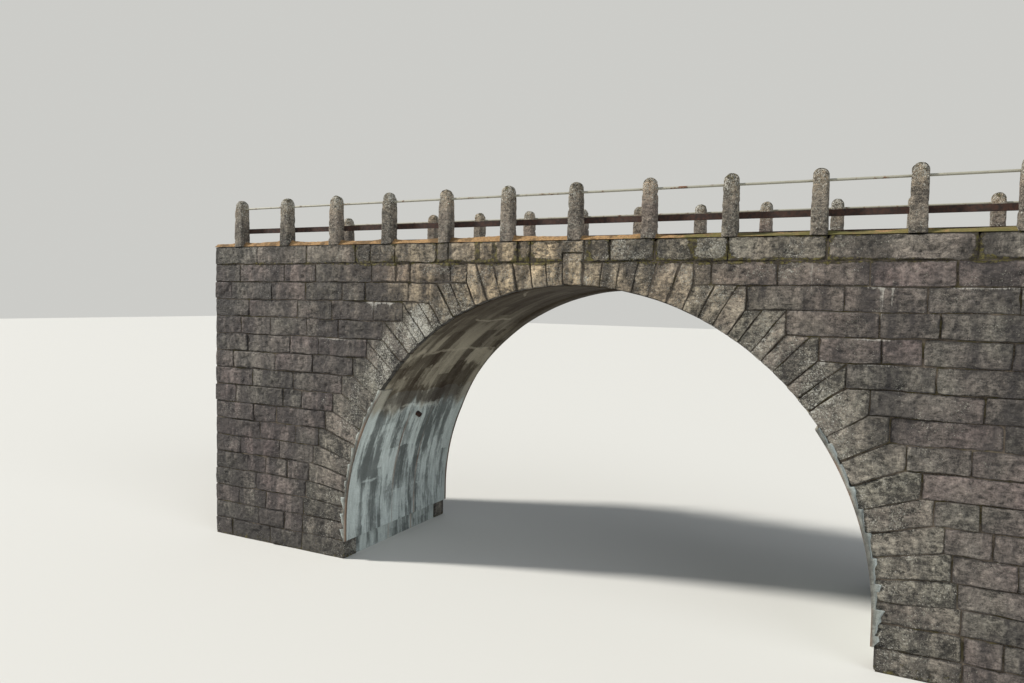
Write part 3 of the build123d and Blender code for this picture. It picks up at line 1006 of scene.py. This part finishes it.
def hit_back(course, angle):
    """Where the joint at an angle meets the top or the upright end of a course of the ring."""
    level = bed(course - 1)
    across = tan(radians(angle)) * (level - springing) if level > springing else 1e9
    end = ring_end(course)
    if across <= end + 1e-9:
        return (across, level)
    return (end, springing + end / tan(radians(angle)))


def wedge(course, start, end):
    """Outline of one arch stone between two angles. Its bottom side lies on the soffit."""
    first, last = hit_back(course, start), hit_back(course, end)
    corner = (ring_end(course), bed(course - 1))
    turns = last[1] < corner[1] - 1e-6 and first[0] < corner[0] - 1e-6
    arc = [on_arch(arch_radius, start + (end - start) * n / 6) for n in range(7)]
    return {
        "bottom": arc,
        "top": [first, corner, last] if turns else [first, last],
        "left": [arc[0], first],
        "right": [arc[-1], last],
    }


def ring_outlines(course, rng):
    """Outlines of the arch stones of one course."""
    if bed(course) < springing and bed(course - 1) < springing + 0.1:
        return [quad(arch_radius, ring_end(course), bed(course), bed(course - 1))]
    start = keystone_angle if course == 2 else step_angle(course - 1)
    end = min(step_angle(course), 90)
    count = stones_in_course.get(course, 1)
    shares = np.linspace(0, 1, count + 1)
    shares[1:-1] += rng.uniform(-0.12, 0.12, count - 1) / count
    return [wedge(course, *ends) for ends in pairwise(start + (end - start) * shares)]


ring_groups = {"crown": (2, 2), "shoulder": (3, 5), "haunch": (6, 10), "foot": (11, bottom_course)}
for (face, _), (hand, _) in product(both_faces, both_hands):
    rng = np.random.default_rng(300 + 10 * (face == "back") + (hand == "left"))
    for group, (first, last) in ring_groups.items():
        ring = Masonry()
        for course in range(first, last + 1):
            for outline in ring_outlines(course, rng):
                soffit = "left" if len(outline["bottom"]) == 2 else "bottom"
                cut_stone(
                    ring, elevations[face, hand], outline, rng,
                    shown={soffit: soffit_relief}, depth=ring_depth, step=grid_steps[face],
                )
        set_stones(ring, f"{face}_ring_{hand}_{group}", "arch")

# %% [markdown]
# The keystone is less rugged than its neighbours, so its planes slope less. It reaches up into the
# coping. A coping stone beside it is notched, which is a patch that has more corners in its bottom
# side and its upright side.

# %% Build the keystones and copings
flank_slope = tan(radians(keystone_angle))
half_top = flank_slope * (keystone_top - springing)
half_bed = flank_slope * (bed(1) - springing)
top_relief = (0.012, 0.010)
for face, _ in both_faces:
    rng = np.random.default_rng(500 + (face == "back"))
    view = elevations[face, "right"]
    crown = [on_arch(arch_radius, keystone_angle * (n / 4 - 1)) for n in range(9)]
    top_left, top_right = (-half_top, keystone_top), (half_top, keystone_top)
    outline = {
        "bottom": crown, "top": [top_left, top_right],
        "left": [crown[0], top_left], "right": [crown[-1], top_right],
    }
    keystone = Masonry()
    cut_stone(
        keystone, view, outline, rng, shown={"bottom": soffit_relief}, depth=ring_depth,
        step=grid_steps[face], tint=0.55, fall=0.5, snug=1.6,
    )
    set_stones(keystone, f"{face}_keystone", "arch", "stone")

    coping = Masonry()
    for start, end in pairwise((-half_length, *coping_joints[face], half_length)):
        outline = quad(start or half_top, end or half_top, bed(1), deck)
        if end is None:
            outline["bottom"] = [(start, bed(1)), (-half_bed, bed(1)), top_left, top_right]
            outline["right"] = [top_right, (half_top, deck)]
        elif start is None:
            outline["bottom"] = [(half_bed, bed(1)), (end, bed(1))]
            outline["left"] = [(half_bed, bed(1)), top_right, (half_top, deck)]
        shown = {"top": top_relief}
        if start == -half_length:
            shown["left"] = end_relief
        if end == half_length:
            shown["right"] = end_relief
        depth = quoin_depth(1) - arris_depth if len(shown) == 2 else 0.20
        cut_stone(coping, view, outline, rng, shown=shown, depth=depth, step=grid_steps[face], fall=0.7)
    set_stones(coping, f"{face}_coping", "coping")

# %% [markdown]
# The end walls close the bridge between the corner stones, which alternate between long and short.

# %% Build the end walls
for hand, _ in both_hands:
    rng = np.random.default_rng(600 + (hand == "left"))
    wall, joints = Masonry(), ()
    for course in range(1, bottom_course + 1):
        reach = half_width - quoin_depth(course)
        joints = divide(-reach, reach, rng, (), joints, 0.45, 1.1)
        for start, end in pairwise(joints):
            outline = quad(start, end, bed(course), min(bed(course - 1), fill_top))
            cut_stone(wall, elevations["end", hand], outline, rng, step=grid_steps["end"])
    set_stones(wall, f"end_wall_{hand}", "wall")

# %% [markdown]
# The vault was cast in strips on boards, and the lining was added later. Both are long curved slabs
# here: rings of points along the arch, a fine soffit line that can be uneven and a plain hidden back,
# round the curve and then straight down the jamb. A thin coat of concrete runs from the vault over the
# soffit of both rings, ragged teeth of lime and concrete hang on the arris beside the lining, and a
# drain pipe sticks out of it. The patches and seams that the photograph shows are kept as a table,
# because noise alone would not put them in their places.

# %% Cast the vault and the lining
seams = (
    (11, 18, -1.7, -0.6), (31, 32, -0.9, 1.0), (44.5, 44.5, -1.1, 1.9), (61, 61, -0.9, 0.7),
    (79.5, 79.5, -1.65, -0.9),
)  # pouring joints: degrees from the crown at both ends, and their reach across the bridge
panels = (
    (31, 39, -1.3, -0.5, -0.6), (33, 44.5, -0.4, 0.35, 0.35), (34, 44, -1.9, -1.1, -0.8),
    (44.5, 50.5, 0.85, 1.9, 1.0), (45, 53, -1.9, -0.9, -0.8), (45, 49.5, -1.0, -0.3, -1.0),
    (47, 57, -0.4, 0.3, 0.35), (52, 57, 0.5, 1.6, -0.6), (56, 60.5, -1.5, 1.3, -0.8),
    (61, 79, -1.65, -1.05, -0.9), (66, 84, -0.45, 0.0, -0.6), (61, 90, -0.95, -0.65, 0.7),
    (62, 90, 0.05, 0.35, 0.7), (66, 77, 0.6, 0.95, -0.7), (65, 80, 1.05, 1.3, 0.6),
)  # patches of the soffit: degrees from the crown, reach across, and how much paler or darker they are
inner_reach = half_width - wall_depth
skim_radius = arch_radius - 0.014
lining_reach = half_width - 0.012
lining_back = vault_radius + 0.05
ring_back = arch_radius + 0.003
vault_end = vault_radius * pi / 2 + springing
lining_end = lining_radius * pi / 2 + springing - lining_foot
board_width = 0.38
soffit_grid = (0.036, 0.052)  # along the arch and across it
skim_grid = 0.05
smear_grid = 0.02
fade_length = 0.9  # over which the top of the lining thins out
tooth_spacing = 0.36
drain_angle = 64.4


def places(x, y, z):
    """Points from their three parts, each an array or a single number."""
    return np.stack(np.broadcast_arrays(x, y, z), axis=-1)


def arch_lines(columns, stations, base, way):
    """Lines of points along the arch at places in columns, as (radius, y), abreast of the stations.

    Stations are distances from the crown at the base radius, and run on down the upright jamb.
    """
    angle = np.minimum(stations / base, pi / 2)
    drop = np.maximum(stations - base * pi / 2, 0)
    return np.stack([
        places(way * radius * np.sin(angle), y, springing + radius * np.cos(angle) - drop)
        for radius, y in columns
    ], axis=1)


def outward(spots):
    """Directions away from the axis of the arch, and level beside the jambs."""
    away = places(spots[..., 0], 0, np.maximum(spots[..., 2] - springing, 0))
    return away / np.linalg.norm(away, axis=-1, keepdims=True)


def seam_marks(angle, across, spots):
    """1 on the pouring joints and 0 elsewhere."""
    wobble = 0.9 * lumps(spots, 0.5, 31) + 0.3 * lumps(spots, 0.1, 32)
    total = 0
    for first, last, low, high in seams:
        place = first + (last - first) * (across - low) / (high - low) + wobble
        total = total + ramp(across - low, 0.2) * ramp(high - across, 0.2) * near(angle, place, 0.42)
    return ramp(total)


def panel_marks(angle, across, spots):
    """From -1 where a patch is dark to 1 where it is pale."""
    uneven = 0.05 * lumps(spots, 0.3, 35) + 0.03 * lumps(spots, 0.1, 36)
    angle = angle + uneven * 11 + 1.3 * lumps(spots * (0, 1, 0), 0.09, 37)
    across = across + uneven
    total = 0
    for first, last, low, high, amount in panels:
        inside = ramp(angle - first, 0.8) * ramp(last - angle, 0.8)
        total = total + amount * inside * ramp(across - low, 0.06) * ramp(high - across, 0.06)
    return np.clip(total, -1, 1)


def soffit_marks(rings, stations):
    """Marks for the concrete at rings of points along the soffit."""
    spots = rings.reshape(-1, 3)
    travel, across = np.repeat(stations, rings.shape[1]), spots[:, 1]
    angle = np.degrees(np.abs(travel) / vault_radius)
    turned = np.where(travel > 0, -across, across)
    line = spots * (0, 1, 0)
    front = angle + 1.6 * lumps(line, 0.12, 33) + 1.6 * lumps(line, 0.45, 34)
    lime, deep = ramp(front - 60, 2.5), ramp(angle - 78, 6)
    panel = panel_marks(angle, turned, spots) * (1 - 0.4 * deep) + 0.35 * deep
    return {
        "run": travel, "across": across, "lime": lime,
        "border": near(np.abs(across), half_width - 0.17, 0.18) * ramp(angle - 41, 15),
        "washed": ramp(angle - 20, 24) - 0.1 * deep,
        "panel": panel + 0.5 * near(front, 61.6, 0.7) * (np.abs(turned) < 0.95),
        "rim": seam_marks(angle, turned, spots),
        "rust": ramp((near(across, 0.55, 0.05) + near(across, -0.35, 0.06)) * lime),
    }


def slab(masonry, way, start, end, inner, back, reach, ragged=0):
    """A curved slab between two distances from the crown. Back gives its other side as (radius, y)."""
    stations = np.linspace(start, end, max(2, ceil((end - start) / soffit_grid[0])) + 1)
    across = np.linspace(-reach, reach, ceil(2 * reach / soffit_grid[1]) + 1)
    rings = arch_lines([*[(inner, y) for y in across], *back], stations, inner, way)
    spots = rings[:, : len(across)]
    distance = np.abs(stations)[:, None] + 0 * across
    rise = 0.007 + 0.006 * roughness_of(spots, 0.5, 41)
    rise = rise - 0.006 * seam_marks(np.degrees(distance / inner), spots[..., 1], spots)
    rise = rise + 0.002 * np.sign(np.sin(spots[..., 1] * 2 * pi / board_width))
    limit = 0.016
    if ragged:
        feather = ramp(start + fade_length - distance - 0.15 * lumps(spots, 0.3, 45), fade_length)
        over_ring = ramp(np.abs(spots[..., 1]) - inner_reach + 0.08, 0.12)
        thin = np.where(spots[..., 1] < 0, 0, skim_radius - lining_radius + 0.012)
        rise = rise + feather * ((vault_radius - lining_radius + 0.03) * (1 - over_ring) + thin * over_ring)
        limit = limit + feather
    spots += outward(spots) * np.clip(rise, 0, limit)[..., None]
    if ragged:
        last = len(across) - 1
        for column, side in ((0, -1), (last, 1)):
            notches = ragged * (0.5 + 0.8 * roughness_of(rings[:, column], 0.25, 43))
            rings[:, column, 1] -= side * np.maximum(notches, 0)
        rings[:, last + 1, 1], rings[:, -1, 1] = rings[:, last, 1], rings[:, 0, 1]
    masonry.sweep(rings, way > 0, **soffit_marks(rings, stations * way))


def skim(masonry, way, side, start, end, reach):
    """The thin coat of concrete that runs out over the soffit of a ring."""
    stations = np.linspace(start, end, max(2, ceil((end - start) / skim_grid)) + 1)
    across = side * np.linspace(inner_reach + 0.03, reach, 8)
    edge = side * (inner_reach - 0.06)
    columns = [(vault_radius + 0.02, edge), *[(skim_radius, y) for y in across]]
    columns += [(arch_radius + 0.04, across[-1]), (arch_radius + 0.04, edge)]
    rings = arch_lines(columns, stations, vault_radius, way)
    spots = rings[:, 1:-2]
    spots += outward(spots) * (0.006 + 0.005 * roughness_of(spots, 0.4, 42))[..., None]
    if side < 0:
        rings[:, -3, 1] += 0.035 * (1 + roughness_of(rings[:, -3], 0.2, 44))
        rings[:, -2, 1] = rings[:, -3, 1]
    masonry.sweep(rings, way * side > 0, **soffit_marks(rings, stations * way))


def smear(masonry, way, side, start, end):
    """Concrete that oozed out of the form and stuck to the arris of the ring stones."""
    stations = np.linspace(start, end, ceil((end - start) / smear_grid) + 1)
    front = half_width - 0.013
    spots = places(stations, side * 3.0, way * 5.0)
    tooth = stations / tooth_spacing + 0.35 * lumps(spots, 0.9, 74)
    size = 0.5 + 0.5 * hashed(places(tooth.astype(int), 7, way * side), 75)
    growth = 0.05 + 0.12 * (stations - start) / (end - start)
    wide = 0.015 + growth * size * (1 - tooth % 1) ** 1.3 + 0.02 * lumps(spots, 0.06, 72)
    wide = np.clip(wide * np.minimum(1, (end - stations) / 0.1 + 0.1), 0.002, 0.2)
    inner = lining_radius + (side > 0) * 0.046 * ramp(start + fade_length - stations, fade_length)
    section = (
        (inner + 0.004, front - 0.05), (inner, front), (arch_radius + 0.15 * wide, front + 0.008),
        (arch_radius + 0.7 * wide, front - 0.024 + 0.2 * wide), (arch_radius + wide, front - 0.055),
        (arch_radius + 0.3 * wide, front - 0.08),
    )
    columns = [(radius, side * np.minimum(y, half_width - skin_margin)) for radius, y in section]
    rings = arch_lines(columns, stations, lining_radius, way)
    outer = np.tile((0.0, 0.0, 0.4, 1.0, 1.0, 1.0), len(stations))
    masonry.sweep(
        rings, way * side > 0, run=np.repeat(stations * way, 6), lime=0.3 + 0.6 * outer,
        across=(rings[..., 1] * 3 + rings[..., 0]).ravel(), border=outer * 0.8,
        washed=0.6 + 0.3 * outer, rust=0.8 * (1 - outer),
    )


def drain(masonry, way, y):
    """The end of a drain pipe that sticks out of the lining."""
    angle, turns = radians(drain_angle), np.linspace(0, 2 * pi, 24, endpoint=False)[:, None]
    middle = np.array([way * sin(angle), 0, cos(angle)])
    circle = np.cos(turns) * (way * cos(angle), 0, -sin(angle)) + np.sin(turns) * (0, 1, 0)
    rings = [
        (lining_radius + distance) * middle + (0, y, springing) + radius * circle
        for radius, distance in ((0.058, 0.01), (0.058, -0.09), (0.046, -0.09), (0.042, -0.02))
    ]
    masonry.sweep(np.array(rings), way > 0, 1)


crown_run = vault_radius * radians(18)
lining_run = vault_radius * radians(lining_start)
lining_top = lining_radius * radians(lining_start)
back_radius = round(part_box("vault_foot_right")[1].x, 3)
vault_back = ((back_radius, inner_reach), (back_radius, -inner_reach))
over_ring = ((ring_back, lining_reach), (ring_back, inner_reach), (lining_back, inner_reach))
over_rings = (*over_ring, *[(radius, -y) for radius, y in reversed(over_ring)])
skim_sides = ((-1, half_width - 0.15), (1, half_width - 0.028))


def cast_vault(part, way, start, end, skim_end=None):
    """One poured length of the vault, and the thin coat beside it where there is one."""
    vault = Masonry()
    slab(vault, way, start, end, vault_radius, vault_back, inner_reach)
    for side, reach in skim_sides if skim_end else ():
        skim(vault, way, side, start, skim_end, reach)
    vault.build(f"vault_{part}_soffit", [vault_concrete], [f"vault_{part}"], "vault_concrete")


cast_vault("crown", 1, -crown_run, crown_run, crown_run)
for hand, way in both_hands:
    cast_vault(f"haunch_{hand}", way, crown_run, lining_run, lining_run + 0.3)
    cast_vault(f"foot_{hand}", way, lining_run, vault_end)
    lining = Masonry()
    slab(lining, way, lining_top, lining_end, lining_radius, over_rings, lining_reach, 0.02)
    for _, side in both_faces:
        smear(lining, way, side, lining_top + 0.02, lining_end)
    drain(lining, way, way * 0.08)
    finishes = [lining_concrete, channel_rust]
    lining.build(f"lining_{hand}_concrete", finishes, [f"lining_{hand}"], "lining_concrete")

# %% [markdown]
# The posts are granite too, hewn square and tapered with rounded tops, and the weather has eaten at
# their arrises. Rings of points up the post follow a rounded square that grows rounder towards the
# top, and noise cuts into them, so that no two posts are alike.

# %% Hew the posts
post_low, post_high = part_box("front_posts")
post_spacing = 1.333
posts_each_way = 6
post_foot = round(post_high.y - post_low.y, 3)
post_line = round(-(post_low.y + post_high.y) / 2, 3)
post_height = post_high.z - deck
post_head, post_rise = 0.236, 0.105  # width under the round top, and height of the top
post_points = 36  # round the post


def hew_post(masonry, x, y, seed):
    """Adds one post that stands on the coping at x, y."""
    rng = np.random.default_rng(seed)
    shoulder = post_height - post_rise
    straight, turn = np.linspace(0, shoulder, 34), np.linspace(pi / 18, pi / 2 - 0.05, 9)
    heights = np.concatenate([straight, shoulder + post_rise * np.sin(turn)])[:, None]
    taper = post_foot / 2 - (post_foot - post_head) / 2 * straight / shoulder
    halves = np.concatenate([taper, post_head / 2 * np.cos(turn)])[:, None]
    power = 7 - 4.4 * ramp(heights - 0.7 * post_height, 0.24 * post_height)
    turns = np.linspace(0, 2 * pi, post_points, endpoint=False) + pi / post_points
    c, s = np.cos(turns), np.sin(turns)
    reach = halves * (np.abs(c) ** power + np.abs(s) ** power) ** (-1 / power)
    rings = places(x + reach * c, y + reach * s, deck + heights)
    corner = np.abs(c * s) * 2 + 0 * reach
    cut = 0.004 + 0.009 * roughness_of(rings, 0.17, seed) + 0.005 * lumps(rings, 0.045, seed + 9)
    bites = ramp(roughness_of(rings, 0.10, seed + 4) - 0.2) * 0.05
    cut = np.clip(cut + bites * (0.3 + corner), 0, 0.045)
    away = rings[..., :2] - (x, y)
    width = np.linalg.norm(away, axis=-1)
    rings[..., :2] = (x, y) + away * (np.maximum(width - cut, width * 0.5) / width)[..., None]
    rings[..., 2] -= (heights > shoulder) * cut * 0.6
    spots = rings.reshape(-1, 3)
    grown = ramp(spots[:, 2] - deck - 0.55, 0.45)
    foot = ramp(1 - (spots[:, 2] - deck) / 0.3)
    masonry.sweep(
        rings, False, tint=rng.uniform(0, 1),
        rim=0.35 * corner.ravel() ** 3 * lumps(spots, 0.2, seed + 2),
        damp=0.1 + 0.4 * lumps(spots, 0.3, seed + 6) + 0.35 * foot,
        lichen=0.35 + 0.45 * grown, moss=0.52 * grown + 0.4 * foot, warm=0.6 * grown,
    )


for face, side in both_faces:
    posts = Masonry()
    for number in range(-posts_each_way, posts_each_way + 1):
        hew_post(posts, number * post_spacing, side * post_line, 700 + 50 * (side > 0) + number)
    posts.build(f"{face}_posts_hewn", [granites["post"]], [f"{face}_posts"], "post_stone", crease=50)

# %% [markdown]
# The road is one strip that laps over both copings. Its rings are cross-sections of the road: a fine
# upper line that can be bumpy, and a plain bottom that follows the coping and the fill.

# %% Spread the road
road_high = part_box("road_surface")[1]
verge_foot = round(road_high.y, 3)
verge_bank = 0.09  # width of the slope at the edge
verge_height = 0.07
verge_top = verge_foot - verge_bank
road_rise = road_high.z - deck - verge_height
track_line = 0.78  # of the wheels, from the middle
road_stations, road_lines = 341, 67
stations = np.linspace(-half_length, half_length, road_stations)
bank = np.linspace(verge_top, verge_foot, 5)[1:]
lines = np.concatenate([-bank[::-1], np.linspace(-verge_top, verge_top, road_lines), bank])
along, width = np.meshgrid(stations, lines, indexing="ij")
inside = ramp(verge_foot - np.abs(width), verge_bank)
ground = places(along, width, 0)
to_post = np.abs((along / post_spacing + 0.5) % 1 - 0.5) * post_spacing
by_post = near(np.abs(width), post_line, 0.22) * near(to_post, 0, 0.24)
verge = near(np.abs(width), verge_top, 0.14)
worn = 0.030 * np.clip(along / 3 + 0.1, -0.3, 1)
height = road_rise * ramp(1 - (width / verge_top) ** 2) - 0.012 * near(np.abs(width), track_line, 0.22)
bumps = verge_height + 0.012 * roughness_of(ground, 0.5, 51) + 0.005 * lumps(ground, 0.06, 52)
bumps = bumps + verge * (0.018 * lumps(ground, 0.6, 53) - worn) + by_post * 0.03
height = deck + np.maximum(height + inside * bumps, 0.0005)
bottom = ((inner_reach, deck), (inner_reach, fill_top), (-inner_reach, fill_top), (-inner_reach, deck))
under = np.stack([places(stations, y, z) for y, z in bottom], axis=1)
rings = np.concatenate([places(along, width, height), under], axis=1)
x, y, z = rings.reshape(-1, 3).T
road = Masonry()
road.sweep(
    rings, True, litter=0.15 + 0.85 * ramp(np.abs(y) - 1.05, 0.5) + 0.35 * near(y, 0, 0.3),
    moss=near(y, 0, 0.4) + 1.3 * ramp(x, 3) * (np.abs(y) > 1.5), rim=z <= deck,
)
road.build("road_surface_gravel", [road_gravel], ["road_surface"], "road_gravel")

# %% [markdown]
# The rails keep their shape from the frame and only get their finishes, and so does the fill, which
# is hidden inside. Hexagonal bolt heads hold the channel to every post.

# %% Finish the rails and the fill
node_finishes = {"fill": rubble}
for face, _ in both_faces:
    node_finishes |= {f"{face}_top_rail": pipe_paint, f"{face}_channel_rail": channel_rust}
for node, finish in node_finishes.items():
    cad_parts[node].data.materials.clear()
    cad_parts[node].data.materials.append(finish)


def hexagon(masonry, centre, axis):
    """A bolt head with a washer, on a face that looks along Y."""
    turns = np.linspace(0, 2 * pi, 24, endpoint=False)
    six_sided = cos(pi / 6) / np.cos((turns + pi / 6) % (pi / 3) - pi / 6)
    rings = []
    for scale, distance in ((1.5, 0), (1.5, 0.003), (1, 0.003), (1, bolt_height * 0.8), (0.85, bolt_height)):
        reach = bolt_reach * scale * (six_sided if scale <= 1 else 1)
        rings.append(centre + places(reach * np.cos(turns), axis * distance, reach * np.sin(turns)))
    masonry.sweep(np.array(rings), axis < 0)


bolt_reach, bolt_height, web_thickness = 0.014, 0.012, 0.006
bolts_apart = 0.1
for face, side in both_faces:
    low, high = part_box(f"{face}_channel_rail")
    web = high.y - web_thickness if side > 0 else low.y + web_thickness
    bolts = Masonry()
    for number in range(-posts_each_way, posts_each_way + 1):
        for offset in (-bolts_apart / 2, bolts_apart / 2):
            hexagon(bolts, (number * post_spacing + offset, web, (low.z + high.z) / 2), -side)
    bolts.build(f"{face}_channel_bolts", [channel_rust], [], "rail_channel")
print("rails and fill finished")

# %% [markdown]
# The bridge stands on a plain pale floor, which only has to catch its shadow. The key light comes from
# the upper left, low enough to rake across the stones and draw their relief. A broad, weak light from
# the right and the sky fill in the rest. The camera sees a paler backdrop than the sky that lights the
# bridge, so the two can be set apart.

# %% Set the floor and the light
floor_mesh = bpy.data.meshes.new("floor")
floor_corners = [(150 * x, 150 * y, 0) for x, y in ((-1, -1), (1, -1), (1, 1), (-1, 1))]
floor_mesh.from_pydata(floor_corners, [], [(0, 1, 2, 3)])
floor = bpy.data.objects.new("floor", floor_mesh)
bpy.context.scene.collection.objects.link(floor)
floor_mesh.materials.append(Finish("floor_finish").finish(base_color=tone(206, 206, 202), roughness=0.9))

world = bpy.data.worlds.new("studio")
bpy.context.scene.world = world
world.use_nodes = True
sky = world.node_tree.nodes["Background"]
seen = world.node_tree.nodes.new("ShaderNodeLightPath")
backdrop = world.node_tree.nodes.new("ShaderNodeMix")
backdrop.data_type = "RGBA"
for name, value in (("A_Color", tone(150, 154, 158)), ("B_Color", tone(214, 214, 210))):
    Finish.find(backdrop.inputs, name).default_value = value
world.node_tree.links.new(seen.outputs["Is Camera Ray"], Finish.find(backdrop.inputs, "Factor_Float"))
world.node_tree.links.new(Finish.find(backdrop.outputs, "Result_Color"), sky.inputs["Color"])
sky.inputs["Strength"].default_value = 0.9

for name, energy, width, colour, direction in (
    ("key", 4.8, 6, (1.0, 0.96, 0.9), (0.72, 0.31, -0.60)),
    ("fill", 1.3, 50, (0.92, 0.96, 1.0), (-0.75, 0.40, -0.32)),
):
    lamp_data = bpy.data.lights.new(name, "SUN")
    lamp_data.energy = energy
    lamp_data.angle = radians(width)
    lamp_data.color = colour
    lamp = bpy.data.objects.new(name, lamp_data)
    lamp.rotation_euler = Vector(direction).to_track_quat("-Z", "Y").to_euler()
    bpy.context.scene.collection.objects.link(lamp)
print("stage set")

# %% [markdown]
# Last come the view settings and a count of the triangles.

# %% Finish
bpy.context.scene.view_settings.view_transform = "Standard"
print("triangles in all:", sum(made_triangles))
